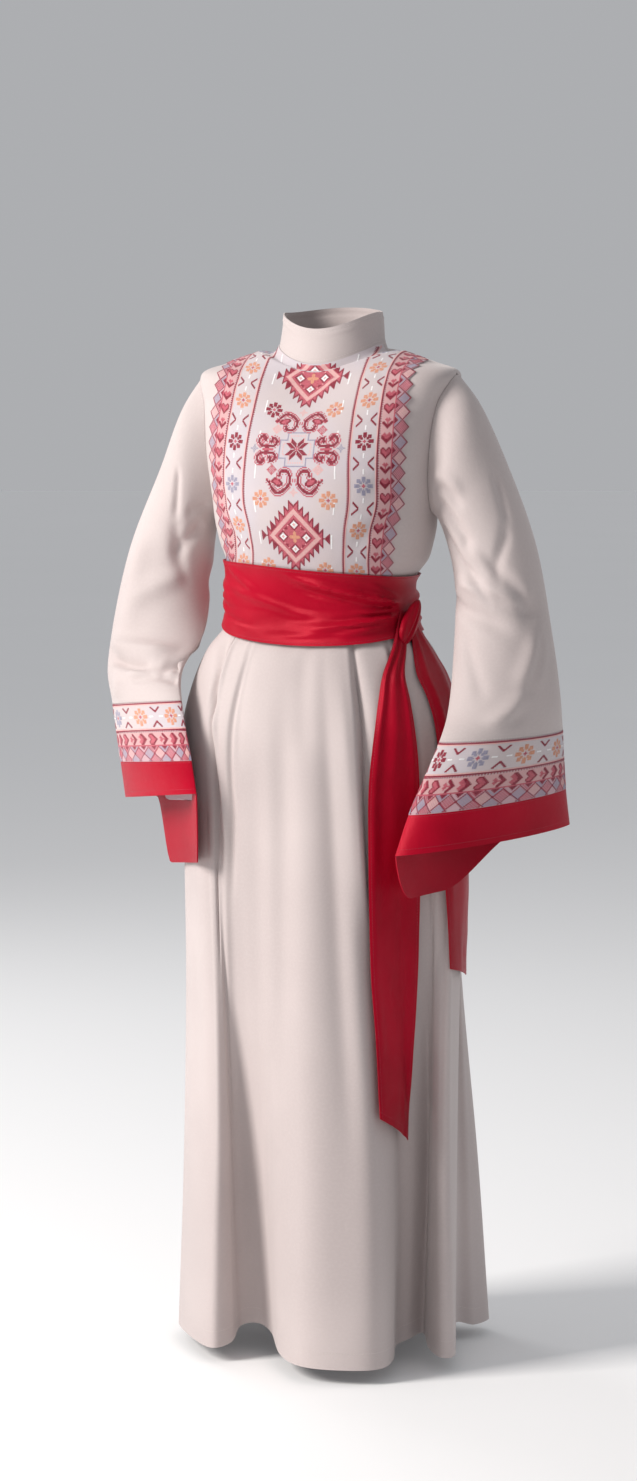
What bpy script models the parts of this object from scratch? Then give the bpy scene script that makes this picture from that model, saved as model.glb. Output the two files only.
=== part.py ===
"""An ankle-length embroidered dress with bell sleeves and a tied sash, hollow, as it is worn.

Metres, +Z up. The front faces -Y and the wearer's left is +X. The origin lies between the
shoulders, at the height where the collar meets them. Each cut piece is a thin closed wall.
"""
import math

import bpy
import numpy as np

# Cloth and seams
CREPE = 0.0016
PANEL_CLOTH = 0.0013
SATIN = 0.0014
SEAM_GAP = 0.0003
SLEEVE_GAP = 0.00045
ARMHOLE_GAP = 0.0006

# Heights of the seams and ends
WAIST_HEIGHT = -0.360
HEM_HEIGHT = -1.384
COLLAR_TOP = 0.045

# Rows and columns of each piece's grid
BODICE_LOW_ROWS = 5
BODICE_ARM_ROWS = 12
BODICE_HIGH_ROWS = 5
PANEL_COLUMNS = 12
SIDE_COLUMNS = 4
BACK_COLUMNS = 14
COLLAR_ROWS = 3
SLEEVE_ROWS = 14
TRIM_ROWS = 3
CUFF_ROWS = 2
COLUMNS_PER_FOLD = 3
SASH_COLUMNS = 44
SASH_ROWS = 7
TAIL_ROWS = 18
TAIL_COLUMNS = 4


def table(columns, rows):
    """A dictionary with one array for each named column."""
    data = np.array(rows, float)
    return {name: data[:, i] for i, name in enumerate(columns.split())}


# Rings of the bodice and collar. The level runs from 0 at the waist seam to 1 at the collar's top.
# The front of a ring drops and its back rises from its own height, and it leans to the left side.
TORSO = table("level height half_width front back shift forward drop rise lean power", [
    (0.00, WAIST_HEIGHT, 0.1310, 0.100, 0.087, -0.009, 0.000, 0.000, 0.000, 0.00, 2.2),
    (0.10, -0.313, 0.1305, 0.104, 0.086, -0.009, 0.002, 0.000, 0.000, 0.07, 2.2),
    (0.14, -0.300, 0.1370, 0.109, 0.089, -0.006, 0.003, 0.000, 0.000, 0.07, 2.2),
    (0.17, -0.284, 0.1460, 0.117, 0.093, -0.003, 0.003, 0.000, 0.000, 0.07, 2.2),
    (0.21, -0.260, 0.1525, 0.126, 0.097, -0.001, 0.004, 0.000, 0.000, 0.05, 2.2),
    (0.32, -0.214, 0.1570, 0.133, 0.104, 0.000, 0.006, 0.000, 0.000, 0.02, 2.3),
    (0.45, -0.150, 0.1650, 0.124, 0.114, 0.000, 0.006, 0.004, 0.000, 0.00, 2.5),
    (0.60, -0.080, 0.1740, 0.101, 0.112, 0.000, 0.000, 0.018, 0.004, 0.00, 2.6),
    (0.70, -0.038, 0.1830, 0.084, 0.096, 0.000, -0.008, 0.030, 0.008, 0.00, 2.5),
    (0.78, -0.024, 0.1480, 0.079, 0.086, 0.000, -0.014, 0.030, 0.010, 0.00, 2.3),
    (0.88, -0.010, 0.1060, 0.074, 0.076, 0.000, -0.018, 0.029, 0.010, 0.00, 2.1),
    (0.96, 0.001, 0.0740, 0.072, 0.070, 0.000, -0.020, 0.028, 0.010, 0.00, 2.0),
    (1.00, COLLAR_TOP, 0.0690, 0.066, 0.066, 0.000, -0.020, 0.024, 0.008, 0.00, 2.0),
])
NECK_LEVEL = 0.96
WAIST_RINGS = 6

# The armhole is a loop on the torso, about the side line
ARM_MIDDLE = 0.49
ARM_HALF = 0.20
ARM_SWING_FRONT = math.radians(14)
ARM_SWING_BACK = math.radians(19)

# Half the chest panel's width at each level, and how far its edge turns round the body
PANEL = table("level half_width", [
    (0.00, 0.106),
    (0.10, 0.110),
    (0.21, 0.126),
    (0.32, 0.138),
    (0.45, 0.142),
    (1.00, 0.142),
])
PANEL_TURN = math.radians(64)
PANEL_EDGE_MARGIN = 0.005

# Rings of the sleeves, from the armhole at run 0 to the end at run 1. Under is the ring's inner
# point and over its outer one. The back of the opening sags below the front.
SLEEVE_COLUMN_NAMES = "run under_x under_y under_z over_x over_y over_z front back pinch sag"
SLEEVE = {
    "left": table(SLEEVE_COLUMN_NAMES, [
        (0.08, 0.164, 0.000, -0.240, 0.216, 0.000, -0.078, 0.058, 0.058, 0.00, 0.000),
        (0.20, 0.176, 0.000, -0.272, 0.257, 0.005, -0.165, 0.058, 0.056, 0.00, 0.000),
        (0.35, 0.188, -0.010, -0.330, 0.295, 0.020, -0.275, 0.056, 0.054, 0.00, 0.000),
        (0.50, 0.196, -0.037, -0.408, 0.314, 0.033, -0.400, 0.058, 0.042, 0.10, 0.000),
        (0.64, 0.202, -0.078, -0.491, 0.321, 0.039, -0.472, 0.054, 0.034, 0.20, 0.000),
        (0.76, 0.200, -0.113, -0.534, 0.324, 0.045, -0.525, 0.048, 0.030, 0.30, 0.015),
        (0.90, 0.170, -0.153, -0.630, 0.330, 0.047, -0.607, 0.040, 0.030, 0.35, 0.040),
        (1.00, 0.158, -0.173, -0.683, 0.336, 0.047, -0.656, 0.036, 0.030, 0.35, 0.065),
    ]),
    "right": table(SLEEVE_COLUMN_NAMES, [
        (0.08, -0.168, 0.000, -0.240, -0.208, 0.000, -0.080, 0.058, 0.058, 0.00, 0.000),
        (0.20, -0.174, 0.000, -0.272, -0.244, 0.005, -0.165, 0.058, 0.056, 0.00, 0.000),
        (0.35, -0.180, -0.010, -0.330, -0.292, 0.020, -0.275, 0.056, 0.054, 0.00, 0.000),
        (0.50, -0.174, -0.038, -0.400, -0.322, 0.032, -0.390, 0.058, 0.034, 0.10, 0.000),
        (0.64, -0.182, -0.100, -0.450, -0.323, 0.037, -0.456, 0.054, 0.024, 0.20, 0.000),
        (0.76, -0.166, -0.135, -0.486, -0.322, 0.035, -0.508, 0.045, 0.022, 0.30, 0.015),
        (0.90, -0.139, -0.163, -0.566, -0.314, 0.031, -0.589, 0.040, 0.022, 0.35, 0.055),
        (1.00, -0.129, -0.170, -0.610, -0.309, 0.029, -0.640, 0.036, 0.022, 0.35, 0.095),
    ]),
}
DOWN = np.array([0, 0, -1.0])
TRIM_RUN = 0.76
CUFF_RUN = 0.90
# The way the upper arm points, which the first rings lie across
ARM_LINE = (0.6, 0, -0.8)
ARM_LINE_RINGS = 2
# Turns, in degrees, where the sag of the opening starts, is full, starts to end and ends
SAG_TURNS = {"left": (182, 222, 250, 304), "right": (182, 212, 280, 302)}

# Creases of the sleeves: from one place to another, its half width and its height in metres
CREASE_COLUMNS = "turn_from run_from turn_to run_to width height"
SLEEVE_CREASES = {
    "left": table(CREASE_COLUMNS, [
        (134, 0.060, 107, 0.315, 0.012, -0.007),
        (107, 0.315, 50, 0.454, 0.012, -0.009),
        (150, 0.340, 60, 0.440, 0.012, 0.008),
        (185, 0.380, 90, 0.470, 0.012, -0.007),
        (50, 0.470, 79, 0.607, 0.018, 0.006),
        (79, 0.607, 121, 0.709, 0.018, 0.006),
        (200, 0.330, 290, 0.430, 0.016, -0.008),
        (215, 0.450, 320, 0.420, 0.014, 0.007),
        (250, 0.120, 300, 0.300, 0.018, -0.006),
    ]),
    "right": table(CREASE_COLUMNS, [
        (71, 0.600, 143, 0.620, 0.012, -0.012),
        (143, 0.620, 200, 0.600, 0.012, -0.010),
        (60, 0.545, 150, 0.560, 0.016, 0.009),
        (155, 0.140, 120, 0.300, 0.014, -0.006),
        (150, 0.320, 80, 0.440, 0.016, 0.006),
        (200, 0.340, 290, 0.430, 0.016, -0.008),
        (210, 0.560, 300, 0.480, 0.016, 0.007),
        (250, 0.120, 300, 0.300, 0.018, -0.006),
    ]),
}
SLEEVE_DEGREE = math.radians(0.085)
SLEEVE_LENGTH = 0.60

# Rings of the skirt without its folds, from level 0 at the waist seam to 1 at the hem
SKIRT = table("level height half_width front back shift forward power", [
    (0.00, WAIST_HEIGHT, 0.1310, 0.100, 0.087, -0.009, 0.000, 2.2),
    (0.022, -0.383, 0.1345, 0.104, 0.091, -0.009, 0.000, 2.2),
    (0.060, -0.420, 0.1610, 0.120, 0.112, -0.010, 0.002, 2.2),
    (0.13, -0.500, 0.1930, 0.147, 0.145, -0.009, 0.002, 2.2),
    (0.26, -0.640, 0.2010, 0.159, 0.166, -0.005, 0.000, 2.1),
    (0.50, -0.885, 0.2000, 0.168, 0.180, -0.003, 0.000, 2.0),
    (0.75, -1.140, 0.2040, 0.182, 0.190, 0.000, 0.000, 2.0),
    (1.00, HEM_HEIGHT, 0.2100, 0.192, 0.200, 0.000, 0.000, 2.0),
])

# The folds of the skirt where they reach the hem: across and towards someone who stands this
# far round to the wearer's left, and how far the hem lifts there
VIEW_TURN = math.radians(20)
HEM = table("across toward lift", [
    (-0.212, -0.050, 0.000),
    (-0.192, 0.030, 0.000),
    (-0.162, 0.092, 0.000),
    (-0.134, 0.076, 0.004),
    (-0.122, 0.040, 0.018),
    (-0.098, 0.040, 0.022),
    (-0.079, 0.062, 0.014),
    (-0.066, 0.130, 0.000),
    (-0.036, 0.195, 0.000),
    (0.022, 0.217, 0.000),
    (0.070, 0.208, 0.000),
    (0.089, 0.160, 0.000),
    (0.094, 0.105, 0.006),
    (0.113, 0.090, 0.012),
    (0.132, 0.072, 0.016),
    (0.139, 0.110, 0.004),
    (0.155, 0.146, 0.000),
    (0.174, 0.135, 0.000),
    (0.178, 0.060, 0.004),
    (0.182, -0.020, 0.008),
    (0.208, -0.040, 0.000),
    (0.231, -0.080, 0.000),
    (0.206, -0.125, 0.000),
    (0.165, -0.118, 0.008),
    (0.142, -0.165, 0.000),
    (0.100, -0.206, 0.000),
    (0.060, -0.165, 0.010),
    (0.012, -0.195, 0.000),
    (-0.035, -0.216, 0.000),
    (-0.072, -0.168, 0.010),
    (-0.115, -0.178, 0.000),
    (-0.154, -0.165, 0.000),
    (-0.168, -0.112, 0.008),
    (-0.202, -0.100, 0.000),
])
FOLD_COUNT = len(HEM["across"])
SKIRT_LEVELS = (0.0, 0.022, 0.06, 0.11, 0.17, 0.25, 0.36, 0.5, 0.66, 0.83, 1.0)

# Pleats that fall from the waist: fold and level where each starts and ends, and its form
SKIRT_PLEATS = table("turn_from run_from turn_to run_to width height", [
    (1.7, 0.04, 3.4, 0.14, 0.008, -0.009),
    (3.4, 0.14, 3.6, 0.34, 0.010, -0.008),
    (2.9, 0.10, 4.3, 0.30, 0.009, 0.004),
    (10.8, 0.04, 10.8, 0.36, 0.009, -0.009),
    (10.1, 0.10, 10.2, 0.40, 0.010, 0.004),
    (5.6, 0.05, 5.8, 0.20, 0.012, -0.003),
    (8.2, 0.05, 8.3, 0.18, 0.012, -0.003),
    (13.4, 0.04, 13.6, 0.26, 0.010, -0.006),
    (15.9, 0.04, 15.7, 0.22, 0.010, -0.005),
    (20.4, 0.04, 20.2, 0.30, 0.010, -0.007),
    (23.2, 0.04, 23.0, 0.34, 0.010, -0.008),
    (26.0, 0.04, 26.1, 0.30, 0.010, -0.008),
    (28.9, 0.04, 29.1, 0.36, 0.010, -0.008),
    (32.2, 0.04, 32.0, 0.28, 0.010, -0.006),
])
FOLD_SIZE = 0.028
SKIRT_LENGTH = 1.03
LEFT_SEAM_FOLD = 18
# How much of its hem depth a fold has at each level
FOLD_GROWTH = table("level share", [
    (0.00, 0.00),
    (0.13, 0.03),
    (0.30, 0.15),
    (0.50, 0.38),
    (0.75, 0.72),
    (1.00, 1.00),
])

# The sash's edges at each angle from the front, + to the wearer's left
SASH = table("angle bottom top", [
    (-180, -0.390, -0.300),
    (-135, -0.383, -0.297),
    (-90, -0.378, -0.296),
    (-45, -0.399, -0.298),
    (0, -0.408, -0.305),
    (45, -0.405, -0.312),
    (75, -0.395, -0.316),
    (110, -0.391, -0.313),
    (180, -0.390, -0.300),
])
SASH_CLEARANCE = 0.0042
# Creases of the sash: angles from the front and places from its bottom, 0, to its top, 1
SASH_CREASES = table("turn_from run_from turn_to run_to width height", [
    (8, 0.90, 74, 0.50, 0.007, 0.0045),
    (40, 0.60, 73, 0.56, 0.004, 0.0030),
    (50, 0.72, 74, 0.62, 0.004, 0.0030),
    (-5, 0.22, 72, 0.38, 0.006, 0.0040),
    (30, 0.12, 72, 0.30, 0.005, 0.0030),
    (-88, 0.70, -52, 0.48, 0.006, 0.0030),
    (-95, 0.42, -60, 0.20, 0.006, 0.0030),
    (-170, 0.30, -110, 0.66, 0.007, 0.0035),
    (100, 0.55, 170, 0.75, 0.007, 0.0035),
    (95, 0.35, 160, 0.28, 0.007, 0.0030),
])
SASH_DEGREE = math.radians(0.125)
SASH_HEIGHT = 0.100
# A free end also clears the sash this far below it, and what lies this close on either side
SASH_MARGIN = 0.006
NEAR_ANGLE = math.radians(5)

# The knot, at the wearer's left front: its angle, its place on the sash, and half its sizes
KNOT_ANGLE = math.radians(74)
KNOT_PLACE = 0.44
KNOT_HALF_WIDTH = 0.017
KNOT_HALF_HEIGHT = 0.019
KNOT_HALF_DEPTH = 0.009
KNOT_SPREAD = (-0.4, 0.0, 0.4)
# How far the knot stands off the sash, with the roots of the free ends between them
KNOT_STAND = 0.0014

# The sash's free ends: heights and both edges, as angles from the front, and how far each
# stretch stands out from what it hangs on
TAIL_COLUMN_NAMES = "height edge_from edge_to stand"
TAILS = {
    "front": table(TAIL_COLUMN_NAMES, [
        (-0.364, 69.0, 75.0, 0.0002),
        (-0.385, 65.0, 74.0, 0.0003),
        (-0.405, 59.0, 69.0, 0.0022),
        (-0.430, 51.0, 61.5, 0.0035),
        (-0.480, 44.0, 59.0, 0.0030),
        (-0.535, 40.0, 59.0, 0.0040),
        (-0.585, 38.0, 60.0, 0.0050),
        (-0.670, 37.5, 61.0, 0.0050),
        (-0.770, 37.5, 62.5, 0.0060),
        (-0.860, 38.0, 63.6, 0.0060),
        (-0.955, 39.5, 63.8, 0.0060),
        (-1.065, 40.0, 63.6, 0.0070),
    ]),
    "back": table(TAIL_COLUMN_NAMES, [
        (-0.364, 76.0, 86.0, -0.0004),
        (-0.385, 76.0, 89.0, -0.0004),
        (-0.410, 72.0, 92.0, 0.0004),
        (-0.440, 67.0, 96.0, 0.0020),
        (-0.480, 69.0, 95.0, 0.0030),
        (-0.540, 70.0, 94.0, 0.0030),
        (-0.640, 71.0, 94.0, 0.0030),
        (-0.745, 72.0, 96.0, 0.0040),
        (-0.860, 74.0, 98.0, 0.0050),
    ]),
}
# How much higher the first edge's corner ends than the last edge's
TAIL_SLANT = {"front": 0.042, "back": 0.020}

# Colour, roughness and sheen of each cloth
CLOTHS = {
    "crepe": ((0.62, 0.57, 0.55), 0.85),
    "embroidered_cloth": ((0.66, 0.50, 0.50), 0.85),
    "satin": ((0.42, 0.012, 0.03), 0.38),
}


def along(keys, values, at):
    """A smooth curve through the values at increasing keys."""
    keys = np.asarray(keys, float)
    values = np.asarray(values, float)
    at = np.clip(np.asarray(at, float), keys[0], keys[-1])
    gap = np.diff(keys).reshape((-1,) + (1,) * (values.ndim - 1))
    rise = np.diff(values, axis=0) / gap
    slope = np.zeros_like(values)
    slope[0] = rise[0]
    slope[-1] = rise[-1]
    slope[1:-1] = (rise[:-1] * gap[1:] + rise[1:] * gap[:-1]) / (gap[:-1] + gap[1:])
    k = np.clip(np.searchsorted(keys, at, side="right") - 1, 0, len(keys) - 2)
    h = keys[k + 1] - keys[k]
    t = (at - keys[k]) / h
    shape = t.shape + (1,) * (values.ndim - 1)
    t = t.reshape(shape)
    h = h.reshape(shape)
    start = (2 * t**3 - 3 * t**2 + 1) * values[k] + (t**3 - 2 * t**2 + t) * h * slope[k]
    end = (3 * t**2 - 2 * t**3) * values[k + 1] + (t**3 - t**2) * h * slope[k + 1]
    return start + end


def smooth(low, high, value):
    """0 below low, 1 above high, and a soft step between."""
    t = np.clip((np.asarray(value, float) - low) / (high - low), 0, 1)
    return t * t * (3 - 2 * t)


def unit(vectors):
    return vectors / np.maximum(np.linalg.norm(vectors, axis=-1, keepdims=True), 1e-12)


def ring_point(rings, angle, level):
    """A point on a ring of the torso or skirt, with its angle from the front."""
    angle, level = np.broadcast_arrays(np.asarray(angle, float), np.asarray(level, float))
    ring = {name: along(rings["level"], values, level) for name, values in rings.items()}
    sine = np.sin(angle)
    cosine = np.cos(angle)
    depth = np.where(cosine > 0, ring["front"], ring["back"])
    power = ring["power"]
    reach = (np.abs(sine / ring["half_width"])**power + np.abs(cosine / depth)**power)**(-1 / power)
    height = ring["height"]
    if "drop" in ring:
        height = height + np.where(cosine > 0, -ring["drop"], ring["rise"]) * cosine**2
        height = height - ring["lean"] * reach * sine
    return np.stack([ring["shift"] + reach * sine, -ring["forward"] - reach * cosine, height], -1)


def torso(angle, level):
    return ring_point(TORSO, angle, level)


def outward(surface, u, v, step_u=0.004, step_v=0.002):
    """Unit normals of a surface, on the side that its (u, v) order turns to."""
    across = surface(u + step_u, v) - surface(u - step_u, v)
    along_v = surface(u, v + step_v) - surface(u, v - step_v)
    return unit(np.cross(across, along_v))


def arm_angle(level, side):
    """How far from the front the bodice front reaches at a level, on one side."""
    turn_cosine = np.clip((level - ARM_MIDDLE) / ARM_HALF, -1, 1)
    swing = ARM_SWING_FRONT if side == "front" else ARM_SWING_BACK
    return math.pi / 2 - swing * np.sqrt(1 - turn_cosine**2)


def armhole(turn, sign):
    """The armhole's loop: turn 0 is at the shoulder, 90 degrees at its front."""
    level = ARM_MIDDLE + ARM_HALF * np.cos(turn)
    sine = np.sin(turn)
    swing = sine * np.where(sine > 0, ARM_SWING_FRONT, ARM_SWING_BACK)
    return torso(sign * (math.pi / 2 - swing), level)


def crease_height(creases, turn, run, turn_size, run_size, repeat):
    """The height that a table's creases add, with the metres in one unit of turn and of run."""
    total = np.zeros(np.broadcast(turn, run).shape)
    for row in range(len(creases["width"])):
        turn_from = creases["turn_from"][row]
        run_from = creases["run_from"][row]
        reach = (creases["turn_to"][row] - turn_from) * turn_size
        climb = (creases["run_to"][row] - run_from) * run_size
        apart = (turn - turn_from + repeat / 2) % repeat - repeat / 2
        across = apart * turn_size
        up = (run - run_from) * run_size
        length = math.hypot(reach, climb)
        place = (across * reach + up * climb) / length**2
        away = np.abs(across * climb - up * reach) / length
        fade = smooth(-0.12, 0.25, place) * (1 - smooth(0.75, 1.12, place))
        total = total + creases["height"][row] * fade * np.exp(-(away / creases["width"][row])**2)
    return total


def sleeve_rings(turn, side):
    """The runs of a sleeve's rings and their points, with the armhole as the first."""
    sign = 1 if side == "left" else -1
    rings = SLEEVE[side]
    points = [armhole(turn, sign)]
    for k in range(len(rings["run"])):
        under = np.array([rings["under_" + axis][k] for axis in "xyz"])
        over = np.array([rings["over_" + axis][k] for axis in "xyz"])
        half = (over - under) / 2
        arm_line = np.array([sign, 1, 1]) * ARM_LINE if k < ARM_LINE_RINGS else DOWN
        forward = unit(np.cross(half, arm_line))
        forward = forward * (-1 if forward[1] > 0 else 1)
        sine = np.sin(turn)
        depth = np.where(sine > 0, rings["front"][k], rings["back"][k])
        fullness = depth * sine * np.abs(sine)**rings["pinch"][k]
        ring = (under + over) / 2 + np.cos(turn)[..., None] * half + fullness[..., None] * forward
        start, full, fade, end = SAG_TURNS[side]
        degrees = np.degrees(turn) % 360
        ring[..., 2] -= rings["sag"][k] * smooth(start, full, degrees) * (1 - smooth(fade, end, degrees))
        points.append(ring)
    return np.concatenate([[0.0], rings["run"]]), np.stack(points)


def plain_sleeve(side):
    """The sleeve's surface without its creases, as a function of turn and run arrays."""
    def surface(turn, run):
        turn, run = np.broadcast_arrays(np.asarray(turn, float), np.asarray(run, float))
        shape = turn.shape
        runs, points = sleeve_rings(turn.ravel(), side)
        out = np.empty((turn.size, 3))
        flat_run = run.ravel()
        for value in np.unique(flat_run):
            here = flat_run == value
            out[here] = along(runs, points[:, here], value)
        return out.reshape(shape + (3,))
    return surface


def skirt_plain(angle, level):
    return ring_point(SKIRT, angle, level)


def fold_lines():
    """Points of each fold's line at each level of the skirt's table."""
    x = HEM["across"] * math.cos(VIEW_TURN) + HEM["toward"] * math.sin(VIEW_TURN)
    y = HEM["across"] * math.sin(VIEW_TURN) - HEM["toward"] * math.cos(VIEW_TURN)
    hem = np.stack([x, y, HEM_HEIGHT + HEM["lift"]], -1)
    step = np.linalg.norm(np.roll(hem, -1, 0)[:, :2] - hem[:, :2], axis=1)
    share = np.concatenate([[0], np.cumsum(step)[:-1]]) / step.sum()
    at_hem = np.unwrap(np.arctan2(x, -y))
    even = at_hem[0] + 2 * math.pi * share
    push = hem - skirt_plain(at_hem, 1.0)
    lines = []
    for level in SKIRT["level"]:
        turned = smooth(0.05, 0.9, level)
        growth = float(along(FOLD_GROWTH["level"], FOLD_GROWTH["share"], level))
        lines.append(skirt_plain(even * (1 - turned) + at_hem * turned, level) + push * growth)
    return np.stack(lines)


def skirt(fold, level):
    """A point of the skirt: fold counts the fold lines round it, from the right side seam."""
    lines = fold_lines()
    wrapped = np.concatenate([lines[:, -3:], lines, lines[:, :4]], axis=1)
    fold, level = np.broadcast_arrays(np.asarray(fold, float), np.asarray(level, float))
    keys = np.arange(-3, FOLD_COUNT + 4)
    rows = along(keys, np.moveaxis(wrapped, 1, 0), fold.ravel())
    out = np.empty((fold.size, 3))
    flat_level = level.ravel()
    for value in np.unique(flat_level):
        here = flat_level == value
        out[here] = along(SKIRT["level"], np.moveaxis(rows[here], 1, 0), value)
    return out.reshape(fold.shape + (3,))


def cloth_material(name):
    colour, roughness = CLOTHS[name]
    material = bpy.data.materials.get(name) or bpy.data.materials.new(name)
    material.use_nodes = True
    shader = material.node_tree.nodes["Principled BSDF"]
    shader.inputs["Base Color"].default_value = (*colour, 1)
    shader.inputs["Roughness"].default_value = roughness
    shader.inputs["Metallic"].default_value = 0
    return material


def wall(name, cloth, outer, normals, thickness, tube=False, lift=0.0):
    """A closed wall between a grid of outer points and the same grid moved in along its normals."""
    rows, columns = outer.shape[:2]
    outer = outer + normals * lift
    inner = outer - normals * thickness
    points = np.concatenate([outer.reshape(-1, 3), inner.reshape(-1, 3)])
    index = np.arange(rows * columns).reshape(rows, columns)
    inside = index + rows * columns
    faces = []
    spans = columns if tube else columns - 1
    for r in range(rows - 1):
        for c in range(spans):
            d = (c + 1) % columns
            a, b, e, f = index[r, c], index[r, d], index[r + 1, d], index[r + 1, c]
            faces += [(a, b, e), (a, e, f)]
            a, b, e, f = inside[r, c], inside[r, d], inside[r + 1, d], inside[r + 1, c]
            faces += [(a, e, b), (a, f, e)]
    for c in range(spans):
        d = (c + 1) % columns
        faces += [(index[0, d], index[0, c], inside[0, c]), (index[0, d], inside[0, c], inside[0, d])]
        faces += [(index[-1, c], index[-1, d], inside[-1, c]), (index[-1, d], inside[-1, d], inside[-1, c])]
    if not tube:
        for r in range(rows - 1):
            s = r + 1
            faces += [(index[r, 0], index[s, 0], inside[s, 0]), (index[r, 0], inside[s, 0], inside[r, 0])]
            faces += [(index[s, -1], index[r, -1], inside[s, -1])]
            faces += [(index[r, -1], inside[r, -1], inside[s, -1])]
    return add_object(name, cloth, points, faces)


def add_object(name, cloth, points, faces):
    mesh = bpy.data.meshes.new(name)
    mesh.from_pydata([tuple(p) for p in points], [], [tuple(int(i) for i in face) for face in faces])
    mesh.update()
    mesh.shade_smooth()
    mesh.set_sharp_from_angle(angle=math.radians(50))
    mesh.materials.append(cloth_material(cloth))
    piece = bpy.data.objects.new(name, mesh)
    bpy.context.scene.collection.objects.link(piece)
    return piece


def arm_levels():
    """Levels of the bodice rows beside the armhole, closer together at its ends."""
    turns = np.linspace(math.pi, 0, BODICE_ARM_ROWS + 1)
    return ARM_MIDDLE + ARM_HALF * np.cos(turns)


def bodice_levels():
    arm = arm_levels()
    low = np.linspace(0, arm[0], BODICE_LOW_ROWS + 1)[:-1]
    high = np.linspace(arm[-1], NECK_LEVEL, BODICE_HIGH_ROWS + 1)[1:]
    return np.concatenate([low, arm, high])


def angle_at(x, level):
    """The angle at which the front of the torso's ring has that distance from the middle."""
    low = np.zeros(np.shape(level))
    high = np.full(np.shape(level), math.pi / 2)
    for _ in range(40):
        middle = (low + high) / 2
        short = torso(middle, level)[..., 0] < x
        low = np.where(short, middle, low)
        high = np.where(short, high, middle)
    return (low + high) / 2


def seam_angle(level):
    """The angle that half a seam's gap takes up on the torso's ring."""
    return SEAM_GAP / 2 / along(TORSO["level"], TORSO["half_width"], level)


def panel_angles(levels):
    """Angles of the panel's columns on each row, from its right edge to its left edge."""
    places = np.linspace(-1, 1, PANEL_COLUMNS + 1)
    half = along(PANEL["level"], PANEL["half_width"], levels)
    share = np.sin(PANEL_TURN * np.abs(places)) / math.sin(PANEL_TURN)
    limit = arm_angle(levels, "front") - seam_angle(levels)
    margin = PANEL_EDGE_MARGIN / along(TORSO["level"], TORSO["half_width"], levels)
    rows = []
    for level, width, most in zip(levels, half, limit - margin):
        angles = angle_at(width * share, np.full(len(places), level))
        top = angles.max()
        angles = angles * min(1.0, most / top)
        rows.append(np.sign(places) * angles)
    return np.stack(rows)


def bodice_angles(levels):
    """Angles of the front bodice's columns, the panel's columns among them."""
    middle = panel_angles(levels)
    limit = arm_angle(levels, "front") - seam_angle(levels)
    share = np.linspace(1, 0, SIDE_COLUMNS + 1)[:-1]
    right = middle[:, :1] + (-limit[:, None] - middle[:, :1]) * share
    left = middle[:, -1:] + (limit[:, None] - middle[:, -1:]) * share[::-1]
    return np.concatenate([right, middle, left], axis=1)


def mitre(normals, levels, columns_sides, swing_side):
    """Turns the edge normals beside the armhole half way to the sleeve's."""
    turn_cosine = (levels - ARM_MIDDLE) / ARM_HALF
    beside = np.abs(turn_cosine) <= 1.0001
    turn = np.arccos(np.clip(turn_cosine, -1, 1)) * (1 if swing_side == "front" else -1)
    for column, side in columns_sides:
        normals[beside, column] = armhole_normals(turn, side)[beside]


def armhole_normals(turn, side):
    """Normals half way between the bodice's and the sleeve's, round the armhole."""
    sign = 1 if side == "left" else -1
    level = ARM_MIDDLE + ARM_HALF * np.cos(turn)
    sine = np.sin(turn)
    angle = math.pi / 2 - sine * np.where(sine > 0, ARM_SWING_FRONT, ARM_SWING_BACK)
    of_bodice = outward(torso, sign * angle, level)
    surface = plain_sleeve(side)
    of_sleeve = outward(surface, turn, np.full_like(turn, 0.02), step_v=0.012) * sign
    return unit(of_bodice + of_sleeve)


def make_bodice_front():
    levels = bodice_levels()
    angles = bodice_angles(levels)
    rows = np.broadcast_to(levels[:, None], angles.shape)
    points = torso(angles, rows)
    normals = outward(torso, angles, rows)
    mitred = normals.copy()
    mitre(mitred, levels, ((0, "right"), (-1, "left")), "front")
    wall("bodice_front", "crepe", points, mitred, CREPE)
    first = SIDE_COLUMNS
    last = SIDE_COLUMNS + PANEL_COLUMNS + 1
    lift = SEAM_GAP + PANEL_CLOTH
    panel = points[:, first:last]
    wall("chest_panel", "embroidered_cloth", panel, normals[:, first:last], PANEL_CLOTH, lift=lift)


def bodice_back_angles(levels):
    """Angles of the back bodice's columns, from its left side round to its right side."""
    start = math.pi - arm_angle(levels, "back") + seam_angle(levels)
    share = np.linspace(0, 1, BACK_COLUMNS + 1)
    return start[:, None] + (2 * math.pi - 2 * start[:, None]) * share


def make_bodice_back():
    levels = bodice_levels()
    angles = bodice_back_angles(levels)
    rows = np.broadcast_to(levels[:, None], angles.shape)
    points = torso(angles, rows)
    normals = outward(torso, angles, rows)
    mitre(normals, levels, ((0, "left"), (-1, "right")), "back")
    wall("bodice_back", "crepe", points, normals, CREPE)


def make_collar():
    """The stand collar, with a column for each of the bodice's columns at the neck."""
    levels = np.linspace(NECK_LEVEL, 1.0, COLLAR_ROWS + 1)
    front = bodice_angles(np.array([NECK_LEVEL]))[0]
    back = bodice_back_angles(np.array([NECK_LEVEL]))[0]
    angles = np.concatenate([front, back[1:-1]])
    rows, columns = np.meshgrid(levels, angles, indexing="ij")
    points = torso(columns, rows)
    points[0, :, 2] += SEAM_GAP
    out = np.stack([np.sin(columns), -np.cos(columns), 0 * columns], -1)
    wall("collar", "crepe", points, out, CREPE, tube=True)


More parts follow.
